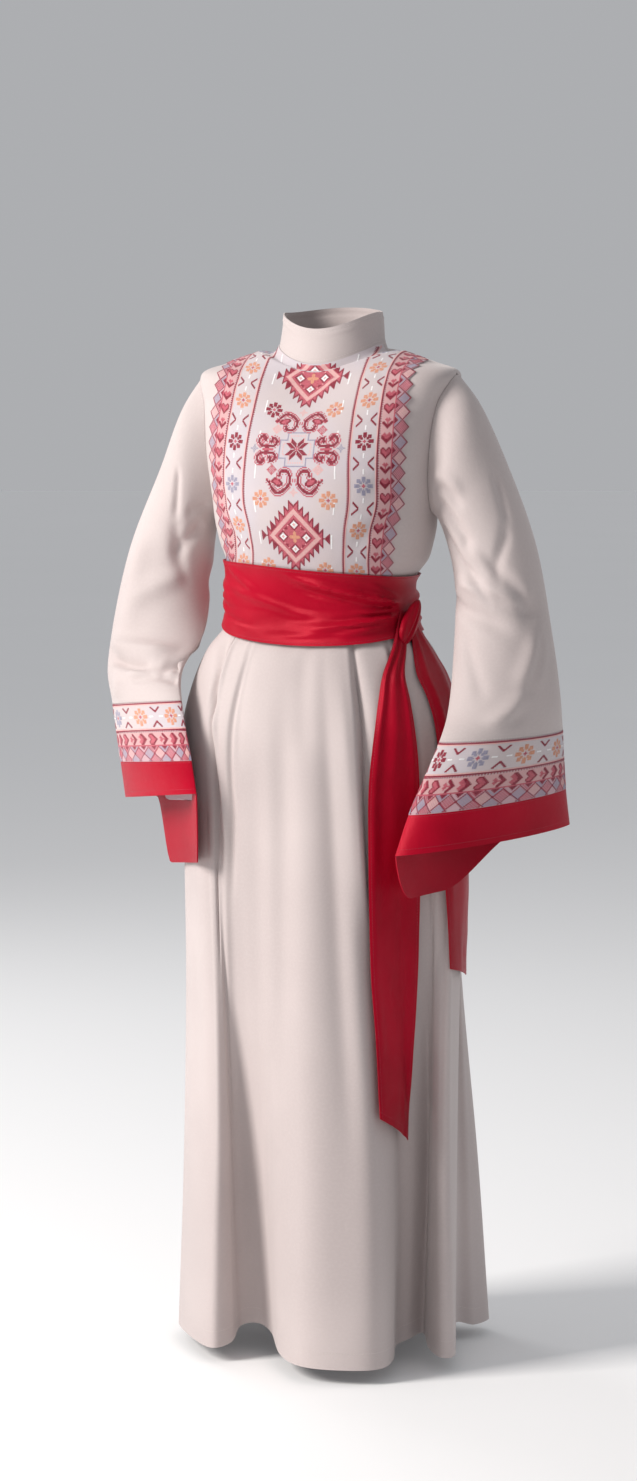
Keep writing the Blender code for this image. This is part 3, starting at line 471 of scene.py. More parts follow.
def fold_lines():
    """Points of each fold's line at each level of the skirt's table."""
    x = HEM["across"] * math.cos(VIEW_TURN) + HEM["toward"] * math.sin(VIEW_TURN)
    y = HEM["across"] * math.sin(VIEW_TURN) - HEM["toward"] * math.cos(VIEW_TURN)
    hem = np.stack([x, y, HEM_HEIGHT + HEM["lift"]], -1)
    step = np.linalg.norm(np.roll(hem, -1, 0)[:, :2] - hem[:, :2], axis=1)
    share = np.concatenate([[0], np.cumsum(step)[:-1]]) / step.sum()
    at_hem = np.unwrap(np.arctan2(x, -y))
    even = at_hem[0] + 2 * math.pi * share
    push = hem - skirt_plain(at_hem, 1.0)
    lines = []
    for level in SKIRT["level"]:
        turned = smooth(0.05, 0.9, level)
        growth = float(along(FOLD_GROWTH["level"], FOLD_GROWTH["share"], level))
        lines.append(skirt_plain(even * (1 - turned) + at_hem * turned, level) + push * growth)
    return np.stack(lines)


def skirt(fold, level):
    """A point of the skirt: fold counts the fold lines round it, from the right side seam."""
    lines = fold_lines()
    wrapped = np.concatenate([lines[:, -3:], lines, lines[:, :4]], axis=1)
    fold, level = np.broadcast_arrays(np.asarray(fold, float), np.asarray(level, float))
    keys = np.arange(-3, FOLD_COUNT + 4)
    rows = along(keys, np.moveaxis(wrapped, 1, 0), fold.ravel())
    out = np.empty((fold.size, 3))
    flat_level = level.ravel()
    for value in np.unique(flat_level):
        here = flat_level == value
        out[here] = along(SKIRT["level"], np.moveaxis(rows[here], 1, 0), value)
    return out.reshape(fold.shape + (3,))


def angle_at(x, level):
    """The angle at which the front of the torso's ring has that distance from the middle."""
    low = np.zeros(np.shape(level))
    high = np.full(np.shape(level), math.pi / 2)
    for _ in range(40):
        middle = (low + high) / 2
        short = torso(middle, level)[..., 0] < x
        low = np.where(short, middle, low)
        high = np.where(short, high, middle)
    return (low + high) / 2


def seam_angle(level):
    """The angle that half a seam's gap takes up on the torso's ring."""
    return SEAM_GAP / 2 / along(TORSO["level"], TORSO["half_width"], level)


def panel_angles(levels):
    """Angles of the panel's columns on each row, from its right edge to its left edge."""
    places = np.linspace(-1, 1, PANEL_COLUMNS + 1)
    half = along(PANEL["level"], PANEL["half_width"], levels)
    share = np.sin(PANEL_TURN * np.abs(places)) / math.sin(PANEL_TURN)
    limit = arm_angle(levels, "front") - seam_angle(levels)
    margin = PANEL_EDGE_MARGIN / along(TORSO["level"], TORSO["half_width"], levels)
    rows = []
    for level, width, most in zip(levels, half, limit - margin):
        angles = angle_at(width * share, np.full(len(places), level))
        top = angles.max()
        angles = angles * min(1.0, most / top)
        rows.append(np.sign(places) * angles)
    return np.stack(rows)


def armhole_normals(turn, side):
    """Normals half way between the bodice's and the sleeve's, round the armhole."""
    sign = 1 if side == "left" else -1
    level = ARM_MIDDLE + ARM_HALF * np.cos(turn)
    sine = np.sin(turn)
    angle = math.pi / 2 - sine * np.where(sine > 0, ARM_SWING_FRONT, ARM_SWING_BACK)
    of_bodice = outward(torso, sign * angle, level)
    surface = plain_sleeve(side)
    of_sleeve = outward(surface, turn, np.full_like(turn, 0.02), step_v=0.012) * sign
    return unit(of_bodice + of_sleeve)


def body_at(angle, height):
    """The bodice's or the skirt's plain ring at a height."""
    heights = TORSO["height"][:WAIST_RINGS]
    levels = TORSO["level"][:WAIST_RINGS]
    level = along(heights, levels, height)
    for _ in range(4):
        leaned = torso(angle, level)[..., 2]
        level = along(heights, levels, height + along(levels, heights, level) - leaned)
    below = skirt_plain(angle, along(-SKIRT["height"], SKIRT["level"], -np.asarray(height, float)))
    return np.where((np.asarray(height) >= WAIST_HEIGHT)[..., None], torso(angle, level), below)


def sash(angle, place):
    """The sash's outer surface: angle in radians, place from its bottom, 0, to its top, 1."""
    degrees = (np.degrees(angle) + 180) % 360 - 180
    bottom = along(SASH["angle"], SASH["bottom"], degrees)
    top = along(SASH["angle"], SASH["top"], degrees)
    height = bottom + (top - bottom) * place
    point = body_at(angle, height)
    point[..., 2] = height
    out = np.stack([np.sin(angle), -np.cos(angle), 0 * angle], -1)
    crease = crease_height(SASH_CREASES, degrees, place, SASH_DEGREE, SASH_HEIGHT, 360)
    return point + out * (SASH_CLEARANCE + SATIN + np.maximum(crease, 0))[..., None]


def reach_at(ring, angle):
    """How far a ring of points reaches from the axis, close to an angle."""
    turn = np.arctan2(ring[:, 0], -ring[:, 1])
    near = np.abs((turn - angle + math.pi) % (2 * math.pi) - math.pi) < NEAR_ANGLE
    return np.hypot(ring[near, 0], ring[near, 1]).max()


def support_reach(angle, height):
    """How far the folded skirt and the sash reach at each angle and height."""
    folds = np.linspace(0, FOLD_COUNT, FOLD_COUNT * 8, endpoint=False)
    turns = np.linspace(-math.pi, math.pi, 240, endpoint=False)
    degrees = np.degrees(turns)
    bottom = along(SASH["angle"], SASH["bottom"], degrees)
    top = along(SASH["angle"], SASH["top"], degrees)
    out = np.zeros(np.shape(angle))
    for row in np.ndindex(np.shape(angle)):
        level = along(-SKIRT["height"], SKIRT["level"], -min(height[row], WAIST_HEIGHT))
        out[row] = reach_at(skirt(folds, np.full(len(folds), float(level))), angle[row])
        for margin in (-SASH_MARGIN, 0, SASH_MARGIN):
            if height[row] + margin > bottom.min():
                place = np.clip((height[row] + margin - bottom) / (top - bottom), 0, 1)
                out[row] = max(out[row], reach_at(sash(turns, place), angle[row]))
    return out


# Cross-stitch: one cell, and how many cells the panel's stripes take, from its middle outwards
CELL = 0.0016
CENTRE_CELLS = 44
FLOWER_CELLS = 26
HEART_CELLS = 11
LATTICE_CELLS = 13
BAND_CELLS = FLOWER_CELLS + HEART_CELLS + LATTICE_CELLS
STITCH_LIFT = 0.00032
STITCH_WIDTH = 0.32
# Machine stitches: one stitch with its gap, half its width, and its height over the cloth
SEAM_STITCH = 0.0042
SEAM_WIDTH = 0.00032
SEAM_LIFT = 0.00035
# Flower repeats round a sleeve's trim
TRIM_REPEATS = 9
# Above this level of the bodice the stripes run straight up to the shoulder
YOKE_LEVEL = 0.60

# The photograph's frame, and the camera's place round the dress
SENSOR = 36.0
IMAGE_HEIGHT = 1481
PIXELS_PER_METRE = 722
CAMERA_DISTANCE = 5.2
CAMERA_HEIGHT = -0.086
AIM_RIGHT = -0.01316
AIM_HEIGHT = -0.5474
FLOOR_HEIGHT = -1.405
FLOOR_SIZE = 60.0
FLOOR_WHITE = 0.84
ROOM_COLOUR = (0.95, 0.965, 1.0)
ROOM_LIGHT = 0.44
# Soft lights: name, place, width and height, watts and colour
LIGHTS = (
    ("key", (-3.1, -3.0, 1.9), (1.5, 2.2), 312, (1.0, 0.955, 0.92)),
    ("rim_left", (-3.0, 2.2, 1.4), (1.4, 2.4), 30, (1, 1, 1)),
    ("rim_right", (3.2, 2.4, 1.0), (1.4, 2.4), 12, (1, 1, 1)),
)
LIGHT_TARGET = (0.0, 0.0, -0.6)

# Finer creases of the cloth, in the same units as the larger ones
BODICE_CREASES = table(CREASE_COLUMNS, [
    (62, 0.30, 34, 0.20, 0.010, -0.0030),
    (66, 0.40, 40, 0.36, 0.012, -0.0025),
    (-62, 0.31, -38, 0.17, 0.010, -0.0032),
    (-68, 0.42, -42, 0.30, 0.012, -0.0024),
    (58, 0.12, 30, 0.03, 0.009, 0.0022),
    (40, 0.10, 12, 0.02, 0.009, -0.0020),
    (-54, 0.14, -30, 0.03, 0.009, 0.0022),
    (-34, 0.10, -14, 0.02, 0.008, -0.0018),
    (70, 0.60, 52, 0.74, 0.012, -0.0025),
    (-70, 0.60, -50, 0.75, 0.012, -0.0025),
    (12, 0.86, 24, 0.70, 0.010, 0.0012),
    (-14, 0.86, -26, 0.72, 0.010, 0.0012),
    (112, 0.34, 146, 0.16, 0.012, -0.0035),
    (-112, 0.36, -140, 0.18, 0.012, -0.0035),
    (120, 0.20, 150, 0.06, 0.010, 0.0030),
    (-118, 0.22, -152, 0.05, 0.010, 0.0030),
    (168, 0.50, 172, 0.12, 0.014, -0.0030),
    (-160, 0.44, -164, 0.10, 0.014, 0.0024),
    (108, 0.62, 140, 0.70, 0.012, -0.0028),
    (-108, 0.62, -138, 0.72, 0.012, -0.0028),
])
BODICE_DEGREE = 0.0027
BODICE_LENGTH = 0.40

FINE_SLEEVE_CREASES = {
    "left": table(CREASE_COLUMNS, [
        (124, 0.040, 96, 0.190, 0.008, -0.0045),
        (112, 0.030, 88, 0.170, 0.009, 0.0030),
        (150, 0.140, 132, 0.310, 0.008, -0.0050),
        (132, 0.120, 116, 0.280, 0.010, 0.0040),
        (132, 0.300, 106, 0.410, 0.008, -0.0060),
        (114, 0.270, 92, 0.375, 0.010, 0.0050),
        (108, 0.400, 56, 0.458, 0.008, -0.0060),
        (92, 0.370, 50, 0.425, 0.011, 0.0050),
        (34, 0.200, 52, 0.290, 0.009, -0.0035),
        (52, 0.290, 90, 0.350, 0.009, -0.0040),
        (50, 0.480, 80, 0.600, 0.010, -0.0040),
        (64, 0.490, 94, 0.600, 0.013, 0.0040),
        (80, 0.600, 100, 0.720, 0.010, -0.0030),
        (150, 0.470, 128, 0.620, 0.012, -0.0030),
        (210, 0.100, 246, 0.260, 0.009, -0.0045),
        (232, 0.200, 286, 0.340, 0.010, 0.0040),
        (216, 0.300, 262, 0.420, 0.009, -0.0050),
        (220, 0.420, 300, 0.500, 0.010, -0.0045),
        (250, 0.560, 300, 0.700, 0.012, 0.0035),
        (330, 0.100, 322, 0.420, 0.014, -0.0024),
        (200, 0.560, 216, 0.740, 0.011, -0.0035),
    ]),
    "right": table(CREASE_COLUMNS, [
        (84, 0.120, 104, 0.220, 0.010, -0.0050),
        (104, 0.220, 150, 0.360, 0.015, -0.0055),
        (70, 0.300, 86, 0.520, 0.022, 0.0060),
        (64, 0.570, 100, 0.600, 0.012, -0.0045),
        (112, 0.650, 142, 0.606, 0.011, 0.0042),
        (142, 0.606, 172, 0.634, 0.011, 0.0040),
        (116, 0.684, 146, 0.646, 0.011, -0.0040),
        (146, 0.646, 178, 0.682, 0.012, -0.0045),
        (152, 0.030, 120, 0.180, 0.009, -0.0035),
        (96, 0.660, 80, 0.745, 0.011, 0.0030),
        (206, 0.100, 244, 0.270, 0.009, -0.0045),
        (230, 0.240, 290, 0.360, 0.010, 0.0040),
        (208, 0.320, 258, 0.430, 0.009, -0.0050),
        (216, 0.460, 300, 0.520, 0.010, -0.0045),
        (240, 0.580, 296, 0.690, 0.011, 0.0035),
        (334, 0.100, 326, 0.400, 0.013, -0.0024),
        (190, 0.420, 208, 0.580, 0.010, -0.0035),
    ]),
}

FINE_SKIRT_CREASES = table(CREASE_COLUMNS, [
    (2.55, 0.02, 3.40, 0.20, 0.0026, -0.0050),
    (3.40, 0.18, 3.05, 0.46, 0.0034, -0.0045),
    (2.85, 0.03, 3.72, 0.22, 0.0050, 0.0034),
    (10.90, 0.02, 10.65, 0.36, 0.0026, -0.0050),
    (10.62, 0.03, 10.38, 0.38, 0.0050, 0.0036),
    (7.6, 0.10, 7.2, 0.62, 0.011, -0.0045),
    (8.4, 0.16, 8.3, 0.95, 0.014, 0.0035),
    (9.2, 0.08, 9.3, 0.70, 0.010, -0.0040),
    (9.9, 0.30, 9.7, 1.00, 0.012, 0.0030),
    (6.6, 0.18, 6.2, 0.80, 0.010, -0.0035),
    (5.1, 0.06, 4.9, 0.36, 0.008, -0.0045),
    (4.3, 0.30, 4.2, 0.90, 0.010, 0.0030),
    (2.3, 0.20, 2.0, 0.80, 0.010, -0.0035),
    (1.0, 0.10, 1.2, 0.70, 0.012, -0.0040),
    (12.2, 0.10, 12.0, 0.80, 0.010, -0.0035),
    (14.6, 0.12, 14.8, 0.70, 0.009, -0.0040),
    (16.7, 0.14, 16.5, 0.90, 0.010, 0.0035),
    (19.1, 0.06, 19.3, 0.80, 0.012, -0.0045),
    (21.6, 0.10, 21.8, 0.95, 0.012, 0.0040),
    (24.6, 0.08, 24.4, 0.80, 0.011, -0.0045),
    (25.4, 0.26, 25.5, 1.00, 0.012, 0.0035),
    (27.5, 0.10, 27.6, 0.75, 0.011, -0.0045),
    (30.1, 0.08, 30.3, 0.90, 0.012, 0.0040),
    (31.0, 0.06, 30.8, 0.60, 0.010, -0.0045),
    (33.1, 0.12, 33.0, 0.85, 0.011, -0.0040),
])
# Gathers into the waist seam: how many, how deep, and how far down they run
GATHER_COUNT = 74
GATHER_DEPTH = 0.0010
GATHER_RUN = 0.10

FINE_SASH_CREASES = table(CREASE_COLUMNS, [
    (-8, 0.92, 74, 0.52, 0.0045, 0.0052),
    (4, 0.74, 73, 0.48, 0.0036, -0.0042),
    (30, 0.78, 75, 0.55, 0.0030, 0.0040),
    (46, 0.72, 75, 0.60, 0.0026, -0.0034),
    (52, 0.86, 77, 0.62, 0.0030, 0.0036),
    (-60, 0.66, 20, 0.36, 0.0060, 0.0030),
    (-58, 0.94, -30, 0.62, 0.0050, 0.0030),
    (10, 0.20, 73, 0.36, 0.0040, 0.0050),
    (-20, 0.10, 66, 0.22, 0.0045, 0.0030),
    (24, 0.32, 72, 0.42, 0.0030, -0.0042),
    (40, 0.44, 73, 0.46, 0.0026, 0.0036),
    (-110, 0.52, -48, 0.40, 0.0050, 0.0030),
    (-100, 0.24, -30, 0.16, 0.0050, -0.0026),
    (80, 0.48, 128, 0.80, 0.0040, 0.0034),
    (80, 0.40, 132, 0.46, 0.0040, 0.0030),
    (79, 0.30, 124, 0.12, 0.0040, 0.0034),
    (120, 0.90, 178, 0.80, 0.0045, 0.0030),
    (126, 0.62, 170, 0.56, 0.0045, -0.0026),
    (130, 0.22, 178, 0.14, 0.0045, 0.0028),
    (-178, 0.76, -120, 0.90, 0.0045, 0.0032),
    (-176, 0.16, -110, 0.18, 0.0045, 0.0030),
    (-150, 0.54, -96, 0.60, 0.0040, 0.0028),
])

# How deep a trough of the sash may go before it would meet the bodice
SASH_TROUGH = 0.0028

# Lengthwise folds of the sash's free ends: place across at the root and the end, and height
TAIL_FOLDS = {
    "front": table("from_place to_place width height fade", [
        (0.14, 0.07, 0.06, 0.0030, 1.0),
        (0.52, 0.40, 0.12, 0.0026, 0.8),
        (0.86, 0.93, 0.06, 0.0022, 0.5),
    ]),
    "back": table("from_place to_place width height fade", [
        (0.22, 0.12, 0.07, 0.0028, 0.8),
        (0.62, 0.70, 0.11, 0.0030, 1.0),
    ]),
}

# The front end's cloth narrows a little more at its tip than the solid does
TAILS["front"]["edge_to"][-2:] = 63.0, 61.2

# The knot's cloth, a narrow loop that leans over the front end's root: its width and height
# against the knot's, its drop, lean and taper, and how deep, where and how wide it is tucked
LOOP_WIDTH = 0.92
LOOP_HEIGHT = 1.85
LOOP_DROP = 0.017
LOOP_LEAN = math.radians(34)
LOOP_TAPER = 0.28
LOOP_TUCK = 0.55
LOOP_TUCK_PLACE = 0.15
LOOP_TUCK_WIDTH = 0.20

# How far above the skirt's hem its row of machine stitches runs
HEM_STITCH_HEIGHT = 0.024

# Grid densities of the shells
BODICE_ROWS = 110
BODICE_COLUMNS = 110
PANEL_ROWS = 190
PANEL_SHELL_COLUMNS = 84
COLLAR_SHELL_ROWS = 16
SLEEVE_SHELL_ROWS = 120
SLEEVE_SHELL_COLUMNS = 120
TRIM_SHELL_ROWS = 24
CUFF_SHELL_ROWS = 18
SKIRT_SHELL_ROWS = 96
SKIRT_COLUMNS_PER_FOLD = 11
SASH_SHELL_COLUMNS = 240
SASH_SHELL_ROWS = 30
TAIL_SHELL_ROWS = 110
TAIL_SHELL_COLUMNS = 26


def piece(name, points, faces, uvs, material, node=None):
    """A mesh from arrays: quads or triangles as rows of indices, with one uv for each corner."""
    mesh = bpy.data.meshes.new(name)
    faces = np.asarray(faces, np.int32)
    count, size = faces.shape
    mesh.vertices.add(len(points))
    mesh.vertices.foreach_set("co", np.asarray(points, np.float32).ravel())
    mesh.loops.add(count * size)
    mesh.loops.foreach_set("vertex_index", faces.ravel())
    mesh.polygons.add(count)
    mesh.polygons.foreach_set("loop_start", np.arange(0, count * size, size, dtype=np.int32))
    mesh.polygons.foreach_set("loop_total", np.full(count, size, dtype=np.int32))
    mesh.update(calc_edges=True)
    layer = mesh.uv_layers.new(name="UVMap")
    layer.data.foreach_set("uv", np.asarray(uvs, np.float32).ravel())
    mesh.shade_smooth()
    mesh.materials.append(material)
    obj = bpy.data.objects.new(name, mesh)
    bpy.context.scene.collection.objects.link(obj)
    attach(obj, "root")
    if node:
        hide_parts(node)
    return obj


def shell(name, outer, normals, thickness, u, v, material, node, tube=False):
    """A thin closed shell between a grid of points and the same grid moved in, with uvs in metres."""
    rows, columns = outer.shape[:2]
    inner = outer - normals * thickness
    points = np.concatenate([outer.reshape(-1, 3), inner.reshape(-1, 3)])
    index = np.arange(rows * columns).reshape(rows, columns)
    if tube:
        index = np.concatenate([index, index[:, :1]], axis=1)
    inside = index + rows * columns
    uv = np.stack(np.broadcast_arrays(u, v), -1)

    def quads(a, b, c, d):
        return np.stack([a.ravel(), b.ravel(), c.ravel(), d.ravel()], -1)

    faces = [quads(index[:-1, :-1], index[:-1, 1:], index[1:, 1:], index[1:, :-1]),
             quads(inside[:-1, :-1], inside[1:, :-1], inside[1:, 1:], inside[:-1, 1:])]
    maps = [np.stack([uv[:-1, :-1], uv[:-1, 1:], uv[1:, 1:], uv[1:, :-1]], 2).reshape(-1, 2),
            np.stack([uv[:-1, :-1], uv[1:, :-1], uv[1:, 1:], uv[:-1, 1:]], 2).reshape(-1, 2)]
    for row, turned in ((0, False), (-1, True)):
        a, b = index[row, :-1], index[row, 1:]
        c, d = inside[row, 1:], inside[row, :-1]
        faces.append(quads(a, b, c, d) if turned else quads(b, a, d, c))
        e, f = uv[row, :-1], uv[row, 1:]
        maps.append(np.stack([e, f, f, e] if turned else [f, e, e, f], 1).reshape(-1, 2))
    if not tube:
        for column, turned in ((0, False), (-1, True)):
            a, b = index[:-1, column], index[1:, column]
            c, d = inside[1:, column], inside[:-1, column]
            faces.append(quads(b, a, d, c) if turned else quads(a, b, c, d))
            e, f = uv[:-1, column], uv[1:, column]
            maps.append(np.stack([f, e, e, f] if turned else [e, f, f, e], 1).reshape(-1, 2))
    obj = piece(name, points, np.concatenate(faces), np.concatenate(maps), material, node)
    obj.data.set_sharp_from_angle(angle=math.radians(60))
    return obj


def run_lengths(points, axis):
    """Distance along a grid's rows or columns from its first point."""
    step = np.linalg.norm(np.diff(points, axis=axis), axis=-1)
    start = np.zeros_like(np.take(step, [0], axis=axis))
    return np.concatenate([start, np.cumsum(step, axis=axis)], axis=axis)


def bodice(angle, level):
    """The bodice's outer surface with its fine creases."""
    angle, level = np.broadcast_arrays(np.asarray(angle, float), np.asarray(level, float))
    degrees = (np.degrees(angle) + 180) % 360 - 180
    height = crease_height(BODICE_CREASES, degrees, level, BODICE_DEGREE, BODICE_LENGTH, 360)
    edge = smooth(0.0, 0.05, level) * (1 - smooth(0.88, NECK_LEVEL, level))
    return torso(angle, level) + outward(torso, angle, level) * (height * edge)[..., None]


def cloth_uv(points, tube=False):
    """UVs in metres from a grid: along its rows on the middle row, and down its middle column."""
    rows, columns = points.shape[:2]
    ring = points[rows // 2]
    if tube:
        ring = np.concatenate([ring, ring[:1]])
    u = run_lengths(ring[None], 1)[0]
    v = run_lengths(points[:, columns // 2][:, None], 0)[:, 0]
    return u[None, :], v[:, None]


def make_bodice(materials):
    levels = np.linspace(0, NECK_LEVEL, BODICE_ROWS + 1)
    share = np.linspace(-1, 1, BODICE_COLUMNS + 1)
    start = math.pi - arm_angle(levels, "back") + seam_angle(levels)
    halves = {
        "bodice_front": (0, arm_angle(levels, "front") - seam_angle(levels)),
        "bodice_back": (math.pi, math.pi - start),
    }
    for name, (middle, limit) in halves.items():
        angles = middle + limit[:, None] * share
        rows = np.broadcast_to(levels[:, None], angles.shape)
        points = bodice(angles, rows)
        u, v = cloth_uv(points)
        shell(name + "_cloth", points, outward(torso, angles, rows), CREPE, u, v,
              materials["crepe"], name)


def make_collar_shell(materials):
    levels = np.linspace(NECK_LEVEL, 1.0, COLLAR_SHELL_ROWS + 1)
    angles = np.linspace(-math.pi, math.pi, 161)[:-1]
    rows, columns = np.meshgrid(levels, angles, indexing="ij")
    points = torso(columns, rows)
    points[0, :, 2] += SEAM_GAP
    out = np.stack([np.sin(columns), -np.cos(columns), 0 * columns], -1)
    place = (rows - NECK_LEVEL) / (1 - NECK_LEVEL)
    ripple = 0.0012 * np.sin(3 * columns + 2.2 * place) * np.sin(math.pi * place)
    ripple = ripple + 0.0009 * np.exp(-((place - 0.80) / 0.03)**2)
    u, v = cloth_uv(points, tube=True)
    points = points + out * ripple[..., None]
    shell("collar_cloth", points, out, CREPE, u, v, materials["crepe"], "collar", tube=True)
    return [seam_line(points, out, place[:, 0], at, closed=True) for at in (0.12, 0.90)]


def sleeve_grid(side, runs, columns):
    """Points and normals of a sleeve with all its creases, in the solids' order."""
    sign = 1 if side == "left" else -1
    surface = plain_sleeve(side)
    turns = np.linspace(0, 2 * math.pi, columns + 1)[:-1]
    rows, turned = np.meshgrid(runs, turns, indexing="ij")
    points = surface(turned, rows)
    normals = outward(surface, turned, np.clip(rows, 0.012, 0.998)) * sign
    degrees = np.degrees(turned)
    height = crease_height(SLEEVE_CREASES[side], degrees, rows, SLEEVE_DEGREE, SLEEVE_LENGTH, 360)
    fine = crease_height(FINE_SLEEVE_CREASES[side], degrees, rows, SLEEVE_DEGREE, SLEEVE_LENGTH, 360)
    points = points + normals * ((height + fine) * smooth(0, 0.06, rows))[..., None]
    if runs[0] == 0:
        normals[0] = armhole_normals(turns, side)
        towards = unit(surface(turns, np.full_like(turns, 0.03)) - points[0])
        points[0] += towards * ARMHOLE_GAP
    order = slice(None) if sign > 0 else slice(None, None, -1)
    return points[:, order], normals[:, order]


def make_sleeve_shells(side, materials):
    gap = SLEEVE_GAP / SLEEVE_LENGTH
    columns = SLEEVE_SHELL_COLUMNS
    runs = np.linspace(0, 1, SLEEVE_SHELL_ROWS + 1)**1.15 * (TRIM_RUN - gap)
    points, normals = sleeve_grid(side, runs, columns)
    u, v = cloth_uv(points, tube=True)
    shell(f"sleeve_{side}_cloth", points, normals, CREPE, u, v,
          materials["crepe"], "sleeve_" + side, tube=True)
    crepe_seams = [seam_line(points, normals, runs, at, closed=True) for at in (0.006, TRIM_RUN - 0.004)]
    runs = np.linspace(TRIM_RUN, CUFF_RUN - gap, TRIM_SHELL_ROWS + 1)
    points, normals = sleeve_grid(side, runs, columns)
    around, _ = cloth_uv(points, tube=True)
    across = (CENTRE_CELLS + np.linspace(0, BAND_CELLS, TRIM_SHELL_ROWS + 1)) * CELL
    shell(f"sleeve_trim_{side}_cloth", points, normals, CREPE, across[:, None], around,
          materials["ground"], "sleeve_trim_" + side, tube=True)
    runs = np.linspace(CUFF_RUN, 1.0, CUFF_SHELL_ROWS + 1)
    points, normals = sleeve_grid(side, runs, columns)
    u, v = cloth_uv(points, tube=True)
    shell(f"cuff_{side}_cloth", points, normals, CREPE, u, v,
          materials["satin"], "cuff_" + side, tube=True)
    satin_seams = [seam_line(points, normals, runs, at, closed=True) for at in (CUFF_RUN + 0.004, 0.985)]
    return crepe_seams, satin_seams


def gathers(fold, level):
    """Uneven gathers below the waist seam."""
    chance = np.random.RandomState(7)
    places = (np.arange(GATHER_COUNT) + chance.uniform(-0.3, 0.3, GATHER_COUNT))
    places = places / GATHER_COUNT * FOLD_COUNT
    deep = GATHER_DEPTH * chance.uniform(0.35, 1.0, GATHER_COUNT)
    reach = GATHER_RUN * chance.uniform(0.35, 1.0, GATHER_COUNT)
    lean = chance.uniform(-0.5, 0.5, GATHER_COUNT)
    height = np.zeros(np.broadcast(fold, level).shape)
    for place, depth, run, side in zip(places, deep, reach, lean):
        apart = (fold - place - side * level / run + FOLD_COUNT / 2) % FOLD_COUNT - FOLD_COUNT / 2
        width = 0.13 + 0.35 * level / run
        fade = smooth(-0.01, 0.03, level) * (1 - smooth(0.35 * run, run, level))
        height = height - depth * fade * np.exp(-(apart / width)**2)
    return height


def make_skirt_shells(materials):
    fold_gap = SEAM_GAP / 2 / FOLD_SIZE
    levels = np.linspace(0, 1, SKIRT_SHELL_ROWS + 1)**1.35
    seams = []
    for name, first, last in (("skirt_front", 0, LEFT_SEAM_FOLD), ("skirt_back", LEFT_SEAM_FOLD, FOLD_COUNT)):
        folds = np.linspace(first, last, (last - first) * SKIRT_COLUMNS_PER_FOLD + 1)
        folds[0] += fold_gap
        folds[-1] -= fold_gap
        rows, columns = np.meshgrid(levels, folds, indexing="ij")
        points = skirt(columns, rows)
        normals = -outward(skirt, columns, np.clip(rows, 0.003, 0.997), step_u=0.05)
        height = crease_height(SKIRT_PLEATS, columns, rows, FOLD_SIZE, SKIRT_LENGTH, FOLD_COUNT)
        fine = crease_height(FINE_SKIRT_CREASES, columns, rows, FOLD_SIZE, SKIRT_LENGTH, FOLD_COUNT)
        beside = smooth(0, 0.4, np.minimum(columns - first, last - columns))
        height = height + (fine + gathers(columns, rows)) * beside
        points = points + normals * height[..., None]
        points[0, :, 2] -= SEAM_GAP
        u, v = cloth_uv(points)
        shell(name + "_cloth", points[:, ::-1], normals[:, ::-1], CREPE, u[:, ::-1], v,
              materials["crepe"], name)
        seams.append(seam_line(points, normals, levels, 1 - HEM_STITCH_HEIGHT / SKIRT_LENGTH))
    return seams


def sash_surface(angle, place):
    degrees = (np.degrees(angle) + 180) % 360 - 180
    fine = crease_height(FINE_SASH_CREASES, degrees, place, SASH_DEGREE, SASH_HEIGHT, 360)
    out = np.stack([np.sin(angle), -np.cos(angle), 0 * angle], -1)
    under_knot = 1 - np.exp(-((degrees - math.degrees(KNOT_ANGLE)) / 7)**2)
    return sash(angle, place) + out * np.maximum(fine * under_knot, -SASH_TROUGH)[..., None]


def make_sash_shell(materials):
    angles = np.linspace(-math.pi, math.pi, SASH_SHELL_COLUMNS + 1)[:-1]
    places = np.linspace(0, 1, SASH_SHELL_ROWS + 1)
    rows, columns = np.meshgrid(places, angles, indexing="ij")
    points = sash_surface(columns, rows)
    out = np.stack([np.sin(columns), -np.cos(columns), 0 * columns], -1)
    u, v = cloth_uv(points, tube=True)
    shell("sash_wrap_cloth", points, out, SATIN, u, v, materials["satin"], "sash_wrap", tube=True)
    return [seam_line(points, out, places, at, closed=True) for at in (0.035, 0.965)]


def tail_grid(name):
    """The free end's outer points, on the solid's own rows and 9 columns."""
    rows = TAILS[name]
    heights = np.linspace(rows["height"][0], rows["height"][-1], TAIL_ROWS + 1)
    keys = -rows["height"]
    share = np.linspace(0, 1, 2 * TAIL_COLUMNS + 1)
    first = np.radians(along(keys, rows["edge_from"], -heights))
    last = np.radians(along(keys, rows["edge_to"], -heights))
    stand = along(keys, rows["stand"], -heights)
    angles = first[:, None] + (last - first)[:, None] * share
    fall = (heights - heights[0]) / (heights[-1] - heights[0])
    height = heights[:, None] + TAIL_SLANT[name] * (0.5 - share) * (fall**3)[:, None]
    reach = support_reach(angles, height) + stand[:, None] + SATIN
    return angles, reach, height, share


